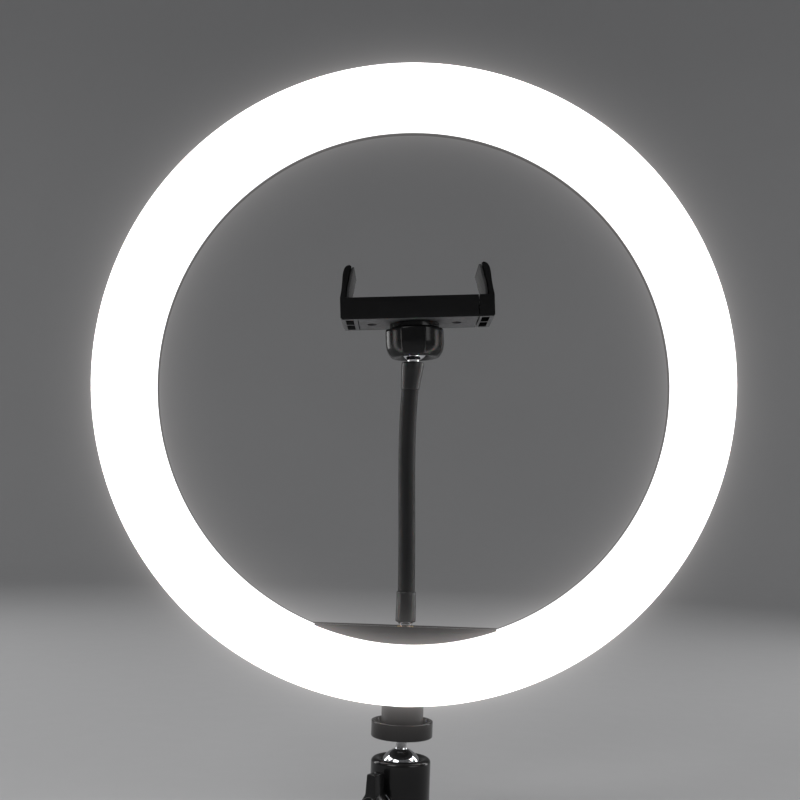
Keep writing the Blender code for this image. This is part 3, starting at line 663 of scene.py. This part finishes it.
def diffuser():
    wall = DIFFUSER_WALL
    outside = ring_profile(OUTER_R, INNER_R, DIFFUSER_ROUND, SPLIT_Y, FRONT_Y)
    inside = ring_profile(
        OUTER_R - wall, INNER_R + wall, DIFFUSER_ROUND - wall, SPLIT_Y, FRONT_Y + wall
    )
    made = solid("diffuser_cover", lathe(outside + inside[::-1], RING_STEPS, closed=True), MILK, RING)
    place_piece(made, "milky_diffuser", "ring", "diffuser")


def chord_outline(radius, half_width, top, steps=40):
    """The part of a disc below a level, seen from the front with the ring's centre at (0, 0)."""
    end = math.asin(half_width / radius)
    turns = [-end + 2 * end * i / steps for i in range(steps + 1)]
    curve = [(radius * math.sin(t), -radius * math.cos(t)) for t in turns]
    return [(-half_width, top), *curve, (half_width, top)]


# Takes a prism drawn as (x, height over the ring's centre) with world Y as its depth into the world.
UPRIGHT = Matrix(((1, 0, 0, 0), (0, 0, 1, 0), (0, 1, 0, RING_CENTRE.z), (0, 0, 0, 1)))


def rear_shell():
    """Rear shell with its lip, the web over the bottom of the hole, and the neck."""
    edge = SPLIT_Y + PARTING
    outside = ring_profile(OUTER_R, INNER_R, SHELL_ROUND, edge, BACK_Y)
    lip_outer, lip_inner = OUTER_R - DIFFUSER_WALL - PARTING, INNER_R + DIFFUSER_WALL + PARTING
    floor, lip, front = BACK_Y - SHELL_PLATE, 1.2, 2.0
    inside = [
        (lip_inner, edge), (lip_inner, front), (lip_inner + lip, front), (lip_inner + lip, floor),
        (lip_outer - lip, floor), (lip_outer - lip, front), (lip_outer, front), (lip_outer, edge),
    ]
    shell = solid("rear_shell", lathe(outside + inside, RING_STEPS, closed=True), SHELL, RING)
    web_low, web_high = WEB_Y
    web = prism(chord_outline(INNER_R + 1.0, WEB_HALF, CHORD - 0.5), web_low, web_high)
    combine(shell, [web], "UNION", place=UPRIGHT)
    neck_top = RING_CENTRE.z - OUTER_R - PARTING
    low = NECK_LOW
    bore = 5.0
    profile = [(bore, low), (NECK_R - 0.4, low), (NECK_R, low + 0.4), (NECK_R, neck_top), (bore, neck_top)]
    neck = lathe(profile, 96, closed=True)
    cap = rod(bore + 0.4, STUD_TOP + 0.4, neck_top, 96)
    rib = prism(rounded([(-6.0, 6.6), (6.0, 6.6), (6.0, 11.2), (-6.0, 11.2)], 1.2), low + 3.0, neck_top + 3.2)
    combine(shell, [neck, cap, rib], "UNION")
    cutters = []
    inside_level, head_level, outside_level = 9.0, 10.9, 13.0
    for turn in screw_turns():
        for radius, start in ((1.1, inside_level), (2.6, head_level)):
            hole = rod(radius, start, outside_level)
            hole.transform(screw_spot(turn))
            cutters.append(hole)
    gland_hole = rod(3.0, inside_level, outside_level)
    gland_hole.transform(Matrix.Translation(gland_spot()))
    combine(shell, [*cutters, gland_hole], "DIFFERENCE", place=RING)
    place_piece(shell, "gloss_black", "ring", "rear_housing")


def screw_turns():
    return [2 * math.pi * i / SHELL_SCREWS for i in range(SHELL_SCREWS)]


def screw_spot(turn):
    return Matrix.Translation((SCREW_RING_R * math.cos(turn), SCREW_RING_R * math.sin(turn), 0.0))


def gland_spot():
    low, high = node_box("cable_gland")
    middle = (low + high) / 2
    return RING.inverted() @ Vector((middle.x, RING_CENTRE.y, middle.z))


def gland():
    """Ribbed strain relief ring for the supply lead."""
    profile = [(1.6, 10.2), (2.7, 10.2), (2.7, 12.3), *arc((4.2, 12.7), 0.4, -90.0, 0.0, 4),
               *arc((4.2, 12.9), 0.4, 0.0, 90.0, 4), (3.25, 13.5)]
    for i in range(4):
        start = 14.0 + 1.3 * i
        wall = 3.15 - 0.12 * i
        groove = wall - 0.5
        profile += [(groove, start - 0.35), (groove, start), (wall, start + 0.15), (wall, start + 0.75)]
    profile += [(2.4, 19.2), *arc((2.1, 19.3), 0.3, 0.0, 90.0, 4), (1.6, 19.6)]
    place = RING @ Matrix.Translation(gland_spot())
    made = solid("lead_gland", lathe(profile, 64, closed=True), RUBBER, place)
    place_piece(made, "rubber", "ring", "cable_gland")


def ring_screws():
    for i, turn in enumerate(screw_turns()):
        place = RING @ screw_spot(turn) @ Matrix.Rotation(0.7 * i, 4, "Z")
        screw(
            f"shell_screw_{i + 1}", place, "ring", [f"ring_screw_{i + 1}"],
            head_r=2.2, bottom=11.2, top=12.1, shank_end=7.2,
        )


def holder_block():
    """The block that closes the bottom of the hole; its top slopes a little to the back."""
    front, back = block_low.y, block_high.y
    outline = chord_outline(INNER_R - PARTING, BLOCK_HALF, CHORD)
    made = solid("holder_plinth", prism(outline, front, back), PLINTH, UPRIGHT)
    for vert in made.data.vertices:
        if vert.co.z / MM > CHORD_Z - 0.01 and vert.co.y / MM > front + 1.0:
            vert.co.z -= BLOCK_SLOPE * MM
    pocket = rod(3.6, CHORD_Z - 6.0, CHORD_Z + 1.0, 48)
    pocket.transform(Matrix.Translation((0.0, HOLDER_Y, 0.0)))
    combine(made, [pocket], "DIFFERENCE")
    round_edges(made, 0.25)
    # Faces pointing up take the top material, whose lighter colour is a painted highlight.
    made.data.materials.append(PAINTED_LIGHT_TOP)
    for face in made.data.polygons:
        if face.normal.z > 0.9:
            face.material_index = 1
    place_piece(made, "gloss_black", "ring", "holder_block")
    for i in (1, 2):
        low, high = node_box(f"block_screw_{i}")
        middle = (low + high) / 2
        place = Matrix.Translation((middle.x, 0.0, middle.z)) @ Matrix.Rotation(math.radians(-90.0), 4, "X")
        screw(
            f"plinth_screw_{i}", place, "ring", [f"block_screw_{i}"],
            head_r=2.0, bottom=11.3, top=12.6, shank_end=3.0,
        )


# ---------------------------------------------------------------- ball head


def ball_head():
    """Turned and polished body: dished mouth, rounded shoulder, small foot chamfer."""
    top, radius, round_over = head_high.z, (head_high.x - head_low.x) / 2, 1.8
    lip_z, gap_r = top - 0.8, BALL_R + PARTING
    lip_angle = math.degrees(math.asin((lip_z - BALL_Z) / gap_r))
    groove = radius - 0.25
    profile = [
        (0.0, 0.0), (radius - 0.6, 0.0), (radius, 0.6), (radius, 3.6), (groove, 3.75), (groove, 4.0),
        (radius, 4.15), (radius, top - round_over),
        *arc((radius - round_over, top - round_over), round_over, 8.0, 90.0, 10),
        (9.6, top), (8.9, top - 0.35), *arc((0.0, BALL_Z), gap_r, lip_angle, -10.0, 10),
        (HEAD_BORE_R, BALL_Z - 2.4), (HEAD_BORE_R, HEAD_FLOOR), (0.0, HEAD_FLOOR),
    ]
    made = solid("head_body", lathe(profile, 128), GLOSS)
    hole = rod(2.5, 7.0, 14.0)
    hole.transform(KNOB)
    combine(made, [rod(5.5, -1.0, 8.8, 96), hole], "DIFFERENCE")
    place_piece(made, "gloss_black", "base", "ball_head_housing")


def base_bush():
    """1/4 inch-20 thread, drawn as it is cut."""
    low, high = (z.z for z in node_box("base_insert"))
    bm, bottom, top = threaded(inner=2.65, outer=3.25, low=low, high=high, pitch=1.27)
    made = solid("base_bush", close_bush(bm, bottom, top, 5.2, low, high), BRASS)
    place_piece(made, "brass", "base", "base_insert")


def ball_stud():
    waist = math.degrees(math.acos(STUD_R / BALL_R))
    crown = BALL_Z + BALL_R
    profile = [
        *arc((0.0, BALL_Z), BALL_R, -90.0, waist - 2.0, 48),
        (STUD_R + 0.12, crown + 0.1), (STUD_R, crown + 0.5), (STUD_R, disc_low.z + 0.4),
        (STUD_THREAD_R, disc_low.z + 1.0), (STUD_THREAD_R, STUD_TOP - 1.6),
        (STUD_THREAD_R - 0.7, STUD_TOP - 0.4), (0.0, STUD_TOP - 0.4),
    ]
    made = solid("stud_ball", lathe(profile, 96), CHROME)
    made.data.materials.append(DARK_STEEL)
    for face in made.data.polygons:
        if face.center.z / MM > crown:
            face.material_index = 1
    place_piece(made, "chrome", "ball", "ball_stud")


def locking_disc():
    low, high = disc_low.z, disc_high.z
    radius = (disc_high.x - disc_low.x) / 2
    floor = NECK_LOW - PARTING
    profile = [
        (3.5, low), (radius - 0.9, low), *arc((radius - 0.6, low + 0.6), 0.6, -90.0, 0.0, 6),
        *arc((radius - 0.4, high - 0.4), 0.4, 0.0, 90.0, 6),
        *arc((radius - 1.1, high - 0.25), 0.25, 90.0, 180.0, 4),
        (radius - 1.8, floor + 0.9), (radius - 2.4, floor), (3.5, floor),
    ]
    made = solid("lock_disc", lathe(profile, 128, closed=True), GLOSS)
    place_piece(made, "gloss_black", "disc", "locking_disc")


def wing_knob():
    """Wing knob with softly rounded blades, its washer and screw."""
    hub = [(0.0, 14.7), (2.1, 14.7), (2.1, 13.5), (3.5, 13.5), (3.8, 13.8), (4.0, 16.6), (4.3, 20.6),
           *arc((3.5, 21.0), 0.8, 0.0, 80.0, 6), (0.0, 22.0)]
    made = solid("wing_knob", lathe(hub, 64), GLOSS, KNOB)
    half, tip, root = 12.9, 1.9, 4.0
    upper = [(half, tip), (4.9, tip + 0.5), (2.4, root), (-2.4, root), (-4.9, tip + 0.5), (-half, tip)]
    lower = [(x, -y) for x, y in upper[::-1]]
    outline = lower[-1:] + upper + lower[:-1]
    wing = solid("wing", prism(rounded(outline, 0.7), 14.8, 21.2), GLOSS)
    round_edges(wing, 0.4, 4)
    blade = bmesh.new()
    blade.from_mesh(wing.data)
    blade.transform(Matrix.Scale(1 / MM, 4))
    bpy.data.objects.remove(wing)
    # The blade stands upright: its length runs along the knob frame's local Y.
    blade.transform(Matrix.Rotation(math.radians(90.0), 4, "Z"))
    combine(made, [blade], "UNION", place=KNOB)
    place_piece(made, "gloss_black", "knob", "lock_knob")
    ring = [(2.1, 12.4), (4.2, 12.4), (4.4, 12.6), (4.4, 13.0), (4.2, 13.2), (2.1, 13.2)]
    place_piece(solid("washer", lathe(ring, 64, closed=True), CHROME, KNOB), "chrome", "base", "knob_washer")
    bm, bottom, top = threaded(inner=1.45, outer=1.8, low=11.5, high=14.4, pitch=0.8, steps=32)
    for ring in (bottom, top):
        bm.faces.new(ring)
    place_piece(solid("thumb_screw", bm, CHROME, KNOB), "chrome", "knob", "knob_screw")


# ---------------------------------------------------------------- gooseneck


BOW = 1.9
BOW_RISE = 1.9  # above 1.0 the widest place moves up


def bow(height):
    """How far the gooseneck stands out to the left at a height, most in its upper half."""
    share = min(max((height - CHORD_Z) / (CLAMP_Z0 - CHORD_Z), 0.0), 1.0)
    return -BOW * math.sin(math.pi * share**BOW_RISE)


def bowed(bm):
    for vert in bm.verts:
        vert.co.x += bow(vert.co.z)
        vert.co.y += HOLDER_Y
    return bm


def densify(profile, longest=1.2):
    """Splits a profile's long stretches so that they can bend."""
    made = [profile[0]]
    for start, end in zip(profile, profile[1:]):
        count = max(1, math.ceil(math.dist(start, end) / longest))
        made += [(start[0] + (end[0] - start[0]) * i / count, start[1] + (end[1] - start[1]) * i / count)
                 for i in range(1, count + 1)]
    return made


def gooseneck():
    low, high = ferrule_low.z, ferrule_high.z
    bore = NECK_STUD_R + PARTING
    collar, foot, tip = CHORD_Z + PARTING, CHORD_Z - 5.4, high - 3.4
    stud = [
        (0.0, foot), (NECK_STUD_R, foot), (NECK_STUD_R, collar), (2.9, collar), (3.1, collar + 0.2),
        (3.1, collar + 0.8), (2.9, collar + 1.0), (NECK_STUD_R, collar + 1.0), (NECK_STUD_R, tip), (0.0, tip),
    ]
    piece = solid("neck_stud", bowed(lathe(stud, 48)), DARK_STEEL)
    place_piece(piece, "chrome", "ring", "gooseneck_stud")
    ferrule = densify([
        (bore, low + FERRULE_BORE), (bore, low), (3.5, low), *arc((3.6, low + 0.55), 0.55, -90.0, 0.0, 6),
        (4.12, low + 3.0), (4.0, high - 2.2), *arc((3.4, high - 0.6), 0.6, 10.0, 90.0, 5), (0.0, high),
    ])
    piece = solid("ferrule_bottom", bowed(lathe([(0.0, low + FERRULE_BORE), *ferrule], 64)), FERRULE)
    place_piece(piece, "satin_grey", "ring", "lower_ferrule")

    tops = [node_box(f"gooseneck_link_{i:02d}") for i in range(1, LINKS + 1)]
    middles = [(a.z + b.z) / 2 for a, b in tops]
    levels = [high - SLEEVE_REACH, *middles, upper_low.z + SLEEVE_REACH]
    bodies_below = ["ring", *[f"neck_{i:02d}" for i in range(1, LINKS + 1)]]
    for i, (start, end) in enumerate(zip(levels, levels[1:])):
        rows = 12
        wall = [(SLEEVE_R, start + (end - start) * j / rows) for j in range(rows + 1)]
        tube = bowed(lathe([(0.0, start), *wall, (0.0, end)], 48))
        piece = solid(f"sleeve_{i + 1:02d}", tube, SLEEVE)
        if i < LINKS:
            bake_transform(piece)
            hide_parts(f"gooseneck_link_{i + 1:02d}")
        else:
            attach(piece, bodies_below[i])

    low, high = upper_low.z, upper_high.z
    ferrule = densify([
        (0.0, low), (3.3, low), *arc((3.35, low + 0.45), 0.45, -60.0, 0.0, 4),
        (4.1, low + 3.4), (4.65, high - 1.8), *arc((4.15, high - 0.5), 0.5, 0.0, 90.0, 5),
        (bore, high), (bore, high - FERRULE_BORE), (0.0, high - FERRULE_BORE),
    ])
    piece = solid("ferrule_top", bowed(lathe(ferrule, 64)), FERRULE)
    place_piece(piece, "satin_grey", "neck_11", "upper_ferrule")

    neck_r = 2.5
    waist = math.degrees(math.acos(neck_r / CLAMP_BALL_R))
    neck = high - CLAMP_Z0
    shank_end = neck - FERRULE_BORE + PARTING
    ball = [(0.0, shank_end), (NECK_STUD_R, shank_end), (NECK_STUD_R, neck + PARTING),
            (neck_r, -CLAMP_BALL_R * 0.97), *arc((0.0, 0.0), CLAMP_BALL_R, -waist, 90.0, 36)]
    made = lathe(densify(ball), 64)
    made.transform(Matrix.Translation((0.0, 0.0, CLAMP_Z0)))
    piece = solid("clamp_joint_ball", bowed(made), CHROME)
    place_piece(piece, "chrome", "neck_11", "clamp_ball")


# -------------------------------------------------------------- phone clamp


NUT_RIDGE = math.radians(18.4)  # one of the nut's eight ridges, from the clamp's +X towards +Y
NUT_PANEL = math.pi / 4
NUT_PLAIN_R = 9.3  # inside this radius the nut is round
NUT_BLEND = 1.6  # the panels take their full shape over this distance
RIDGE_HALF = math.radians(1.6)
RIDGE_HEIGHT = 0.011  # as a share of the radius
PANEL_FLATNESS = 0.42  # 1.0 would make the panels flat


def lock_nut():
    """Cap nut with eight broad panels between fine ridges, one ridge either side of the front."""
    shoulder = arc((11.9, 6.2), 0.7, 90.0, 0.0, 6)
    skirt = smooth([(12.55, 0.6), (12.15, -1.4), (11.25, -3.2), (10.0, -4.4), (8.9, -4.75)])
    profile = [
        (9.2, 6.9), *shoulder, (12.6, 1.4), *skirt, (8.3, -4.7), (6.2, -3.8), (5.9, -3.6), (5.9, -2.9),
        (8.9, -2.9), (8.9, 6.2),
    ]
    bm = lathe(densify(profile, 0.8), 192, closed=True)
    for vert in bm.verts:
        radius = math.hypot(vert.co.x, vert.co.y)
        if radius > NUT_PLAIN_R:
            turn = math.atan2(vert.co.y, vert.co.x) - NUT_RIDGE
            across = abs((turn + NUT_PANEL / 2) % NUT_PANEL - NUT_PANEL / 2)
            edge = min(1.0, across / RIDGE_HALF)
            flat = math.cos(NUT_PANEL / 2) / math.cos(NUT_PANEL / 2 - across)
            share = min(1.0, (radius - NUT_PLAIN_R) / NUT_BLEND)
            factor = 1.0 - share * ((1.0 - flat) * PANEL_FLATNESS + RIDGE_HEIGHT * edge)
            vert.co.x *= factor
            vert.co.y *= factor
    made = solid("ball_lock_nut", bm, GLOSS, CLAMP)
    place_piece(made, "gloss_black", "nut", "clamp_lock_nut")
    cup = arc((0.0, 0.0), CLAMP_BALL_R + PARTING, 90.0, -22.0, 20)
    hub = [*cup, (8.6, cup[-1][1]), (8.6, 7.2), (9.95, 7.2), (10.25, 7.5), (10.25, 9.4), (0.0, 9.4)]
    piece = solid("ball_socket", lathe(hub, 96), GLOSS, CLAMP)
    place_piece(piece, "gloss_black", "clamp", "clamp_socket")


# A jaw's wall, inwards from its outer face and up from the bed.
JAW_OUTSIDE = [(0.0, 0.0), (0.6, 3.0), (1.0, 6.0), (1.3, 9.0), (1.8, 11.2), (2.8, 12.7), (4.2, 13.2)]
JAW_INSIDE = [(4.9, 12.7), (4.1, 10.4), (3.6, 8.0), (2.9, 5.4), (2.5, 3.0), (2.3, 0.0)]
POCKET_INSET = 3.6
RIB_DEPTH, RIB_PITCH = 0.07, 1.1
COVER_SCREW_X = 17.5
HOLLOW_LEFT = -23.1

# Takes a prism drawn as (x, height) with its depth across the clamp into the clamp's own frame.
ACROSS = CLAMP @ Matrix(((1, 0, 0, 0), (0, 0, 1, 0), (0, 1, 0, 0), (0, 0, 0, 1)))


def jaw_points(side, points):
    """Jaw coordinates, inwards from the outer face and up from the bed, into clamp coordinates."""
    outer = CLAMP_LEFT if side < 0 else CLAMP_RIGHT
    return [(outer - side * u, BED + v) for u, v in points]


def jaw(side):
    """A jaw's thin curved wall, as a prism that starts inside the bar."""
    curve = smooth(JAW_OUTSIDE) + smooth(JAW_INSIDE)
    return prism(jaw_points(side, [(0.0, -1.0), *curve, (2.3, -1.0)]), -CLAMP_HALF, CLAMP_HALF)


def pocket_pair(middle):
    """Cutters for the two oblong pockets under one end of the clamp."""
    return [block((middle - 1.6, low, CLAMP_LOW - 1.0), (middle + 1.6, high, CLAMP_LOW + 5.0))
            for low, high in ((-11.3, -0.7), (0.7, 11.3))]


def clamp_bar():
    left = CLAMP_LEFT + 0.01
    outline = [(CLAMP_SEAM, CLAMP_LOW), (CLAMP_SEAM, BED), (left, BED), (left, CLAMP_LOW + 0.8),
               (CLAMP_LEFT + 0.8, CLAMP_LOW)]
    made = solid("clamp_bar", prism(outline, -CLAMP_HALF, CLAMP_HALF), GLOSS, ACROSS)
    combine(made, [jaw(-1)], "UNION", place=ACROSS)
    hollow = block((HOLLOW_LEFT, -HOLLOW_HALF, CLAMP_LOW - 1.0), (CLAMP_SEAM + 1.0, HOLLOW_HALF, 16.4))
    x, y = BED_PAD_X + PARTING, BED_PAD_Y + PARTING
    recess = block((-x, -y, BED - 0.9), (x, y, BED + 1.0))
    combine(made, [hollow, recess, *pocket_pair(CLAMP_LEFT + POCKET_INSET)], "DIFFERENCE", place=CLAMP)
    paint_underside(round_edges(made, 0.3))
    place_piece(made, "gloss_black", "clamp", "clamp_body")


def paint_underside(made):
    """The underside of the clamp is moulded satin; its faces take the second material."""
    made.data.materials.append(SATIN)
    down = CLAMP.to_3x3() @ Vector((0.0, 0.0, -1.0))
    for face in made.data.polygons:
        if face.normal.dot(down) > 0.7:
            face.material_index = 1


def sliding_jaw():
    left, right = CLAMP_SEAM + PARTING, CLAMP_RIGHT - 0.01
    outline = [(left, BED), (left, CLAMP_LOW), (CLAMP_RIGHT - 0.6, CLAMP_LOW), (right, CLAMP_LOW + 0.7),
               (right, BED)]
    made = solid("moving_jaw", prism(outline, -CLAMP_HALF, CLAMP_HALF), GLOSS, ACROSS)
    combine(made, [jaw(1)], "UNION", place=ACROSS)
    tongue = block((-20.0, -6.4, 11.8), (left + 1.0, 6.4, 15.6))
    combine(made, [tongue], "UNION", place=CLAMP)
    combine(made, pocket_pair(CLAMP_RIGHT - POCKET_INSET), "DIFFERENCE", place=CLAMP)
    paint_underside(round_edges(made, 0.3))
    place_piece(made, "gloss_black", "jaw", "sliding_jaw")


def jaw_pads():
    """Ribbed rubber pads on both jaws and on the bed."""
    pads = ((-1, "pad_left", "clamp", "fixed_jaw_pad"), (1, "pad_right", "jaw", "sliding_jaw_pad"))
    for side, name, body, node in pads:
        back = smooth([(2.65, 0.3), (2.85, 3.0), (3.25, 5.4), (3.95, 7.9), (4.45, 10.3), (5.25, 12.45)])
        face = smooth([(5.95, 12.4), (5.4, 10.3), (4.9, 7.8), (4.2, 5.2), (3.8, 3.0), (3.6, 0.3)], 24)
        ribs = [(u + RIB_DEPTH * math.sin(v * 2 * math.pi / RIB_PITCH), v) for u, v in face]
        made = solid(name, prism(jaw_points(side, back + ribs), -PAD_HALF, PAD_HALF), RUBBER, ACROSS)
        round_edges(made, 0.15, 2)
        place_piece(made, "rubber", body, node)
    x, y, low, high = BED_PAD_X, BED_PAD_Y, BED - 0.6, BED + 0.3
    count = 26
    top = []
    for i in range(count):
        at = x - 2 * x * (i + 0.5) / count
        top += [(at + 0.5, high - 0.25), (at + 0.3, high), (at - 0.3, high), (at - 0.5, high - 0.25)]
    made = solid("pad_bed", prism([(-x, low), (x, low), *top], -y, y), RUBBER, ACROSS)
    place_piece(round_edges(made, 0.08, 1), "rubber", "clamp", "bed_pad")


def back_plate():
    """Satin underside cover with two oval screw wells."""
    half = HOLLOW_HALF - PARTING
    low, high = (HOLLOW_LEFT + PARTING, -half, CLAMP_LOW), (CLAMP_SEAM - PARTING, half, 11.2)
    made = solid("under_cover", block(low, high), SATIN, CLAMP)
    wells = []
    for side in (-1, 1):
        for radius, start, end in ((2.0, 8.0, 10.8), (1.0, 8.0, 13.0)):
            well = rod(radius, start, end, 40)
            spot = Matrix.Translation((side * COVER_SCREW_X, 0.0, 0.0))
            well.transform(spot @ Matrix.Diagonal((1.0, 1.35, 1.0, 1.0)))
            wells.append(well)
    combine(made, wells, "DIFFERENCE", place=CLAMP)
    round_edges(made, 0.2)
    place_piece(made, "satin_grey", "clamp", "clamp_back_plate")
    for i, side in enumerate((-1, 1)):
        spot = Matrix.Translation((side * COVER_SCREW_X, 0.0, 0.0))
        place = CLAMP @ spot @ Matrix.Rotation(math.pi, 4, "X")
        # The heads take near-black metal, which is painted shade for their wells.
        screw(
            f"cover_screw_{i + 1}", place, "clamp", [f"plate_screw_{i + 1}"],
            head_r=1.5, bottom=-10.5, top=-9.95, shank_end=-11.5, look=PAINTED_SHADE_SCREWS,
        )


def return_springs():
    """Real coils of wire, drawn at rest."""
    wire, coil, pitch, sides = 0.28, 1.2, 1.5, 8
    spring_y, spring_z = 8.6, 13.7
    start, end = HOLLOW_LEFT + PARTING, CLAMP_SEAM
    length = end - start - 2 * wire
    for i, side in enumerate((-1, 1)):
        bm = bmesh.new()
        turns = length / pitch
        count = round(turns * 20)
        rings = []
        for j in range(count + 1):
            turn = 2 * math.pi * turns * j / count
            out = Vector((0.0, math.cos(turn), math.sin(turn)))
            centre = Vector((start + wire + length * j / count, 0.0, 0.0)) + out * coil
            ring = []
            for k in range(sides):
                way = 2 * math.pi * k / sides
                along = Vector((wire * math.sin(way), 0.0, 0.0))
                ring.append(bm.verts.new(centre + out * wire * math.cos(way) + along))
            rings.append(ring)
        for first, second in zip(rings, rings[1:]):
            for k in range(sides):
                n = (k + 1) % sides
                bm.faces.new((first[k], first[n], second[n], second[k]))
        for ring in (rings[0], rings[-1]):
            bm.faces.new(ring)
        spot = Matrix.Translation((0.0, side * spring_y, spring_z))
        made = solid(f"coil_{i + 1}", bm, ZINC, CLAMP @ spot)
        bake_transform(made)
        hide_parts(f"clamp_spring_{i + 1}")


# ------------------------------------------------------------------ camera

CAMERA_PLACE = Vector((-3.8, FRONT_Y - 440.0, RING_CENTRE.z - 53.2))
CAMERA_PITCH = math.radians(1.8)
CAMERA_ROLL = math.radians(2.0)
LENS = 49.7
SHIFT_X = -0.0015
SHIFT_Y = 0.0989


def camera():
    data = bpy.data.cameras.new("camera")
    data.lens = LENS
    data.sensor_width = 36.0
    data.shift_x = SHIFT_X
    data.shift_y = SHIFT_Y
    data.clip_start = 0.01
    data.clip_end = 50.0
    made = bpy.data.objects.new("camera", data)
    look = Matrix.Rotation(math.radians(90.0) + CAMERA_PITCH, 4, "X")
    roll = Matrix.Rotation(CAMERA_ROLL, 4, "Z")
    made.matrix_world = Matrix.Translation(CAMERA_PLACE * MM) @ look @ roll
    bpy.context.scene.collection.objects.link(made)
    bpy.context.scene.camera = made


def softbox(name, place, target, size, power):
    data = bpy.data.lights.new(name, "AREA")
    data.shape = "RECTANGLE"
    data.size, data.size_y = size
    data.energy = power
    made = bpy.data.objects.new(name, data)
    made.location = place
    made.rotation_euler = (Vector(target) - Vector(place)).to_track_quat("-Z", "Y").to_euler()
    bpy.context.scene.collection.objects.link(made)


FLOOR_GAP = 0.0002  # in metres


def studio():
    """A round grey cove, with soft light from above, from the front and from both sides."""
    cove = bmesh.new()
    flat, bend, top = 1.5, 0.9, 3.2
    outline = [(0.0, 0.0), (flat, 0.0)]
    outline += [
        (flat + bend * math.sin(t), bend - bend * math.cos(t))
        for t in (math.radians(90.0) * i / 12 for i in range(1, 13))
    ]
    outline.append((flat + bend, top))
    verts = [cove.verts.new((r, 0.0, h)) for r, h in outline]
    edges = [cove.edges.new(pair) for pair in zip(verts, verts[1:])]
    bmesh.ops.spin(cove, geom=verts + edges, cent=(0, 0, 0), axis=(0, 0, 1), angle=2 * math.pi, steps=96)
    bmesh.ops.remove_doubles(cove, verts=cove.verts, dist=1e-5)
    bmesh.ops.recalc_face_normals(cove, faces=cove.faces)
    bmesh.ops.reverse_faces(cove, faces=cove.faces)
    mesh = bpy.data.meshes.new("floor")
    cove.to_mesh(mesh)
    cove.free()
    mesh.shade_smooth()
    floor = bpy.data.objects.new("floor", mesh)
    floor.location.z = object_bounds()[0].z - FLOOR_GAP
    bpy.context.scene.collection.objects.link(floor)
    n = Nodes("floor_paper")
    n.colour(n.between(n.noise(3.0, 3.0), (0.50, 0.50, 0.505), (0.53, 0.53, 0.535)))
    n.roughness(n.spread(n.noise(60.0, 3.0), 0.3, 0.7, 0.75, 0.9))
    n.bumps((n.noise(900.0, 2.0), 0.1, 0.1))
    mesh.materials.append(n.material)
    floor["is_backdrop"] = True

    world = bpy.data.worlds.new("studio")
    world.use_nodes = True
    background = world.node_tree.nodes["Background"]
    background.inputs["Color"].default_value = (0.9, 0.92, 0.95, 1.0)
    background.inputs["Strength"].default_value = 0.13
    bpy.context.scene.world = world
    centre = (0.0, 0.0, RING_CENTRE.z * MM)
    for name, place, size, power in (
        ("key", (-0.9, -1.1, 1.3), (0.9, 0.9), 9.0),
        ("fill", (1.2, -0.9, 0.7), (0.9, 0.9), 4.0),
        ("strip_left", (-0.95, 0.5, 0.35), (0.25, 1.1), 3.5),
        ("strip_right", (0.95, 0.5, 0.35), (0.25, 1.1), 3.5),
        ("top", (0.0, 0.2, 1.6), (1.2, 1.2), 5.0),
    ):
        softbox(name, place, centre, size, power)
    bpy.context.scene.view_settings.view_transform = "Standard"


def halo():
    """The soft glow that a camera sees round a lit lamp."""
    scene = bpy.context.scene
    scene.use_nodes = True
    tree = scene.node_tree
    tree.nodes.clear()
    layers = tree.nodes.new("CompositorNodeRLayers")
    glare = tree.nodes.new("CompositorNodeGlare")
    glare.glare_type = "BLOOM"
    glare.inputs["Threshold"].default_value = 1.0
    glare.inputs["Strength"].default_value = 0.22
    glare.inputs["Size"].default_value = 0.12
    out = tree.nodes.new("CompositorNodeComposite")
    tree.links.new(layers.outputs["Image"], glare.inputs["Image"])
    tree.links.new(glare.outputs["Image"], out.inputs["Image"])


camera()
studio()
halo()
diffuser()
rear_shell()
gland()
ring_screws()
holder_block()
ball_head()
base_bush()
ball_stud()
locking_disc()
wing_knob()
gooseneck()
lock_nut()
clamp_bar()
sliding_jaw()
jaw_pads()
back_plate()
return_springs()

cad_looks = (
    ("led_board", BOARD), ("ball_seat", NYLON), ("pressure_pad", BRASS), ("neck_insert", BRASS),
    ("block_insert", BRASS),
)
for node, look in cad_looks:
    materials = frame["nodes"][node].data.materials
    materials.clear()
    materials.append(look)
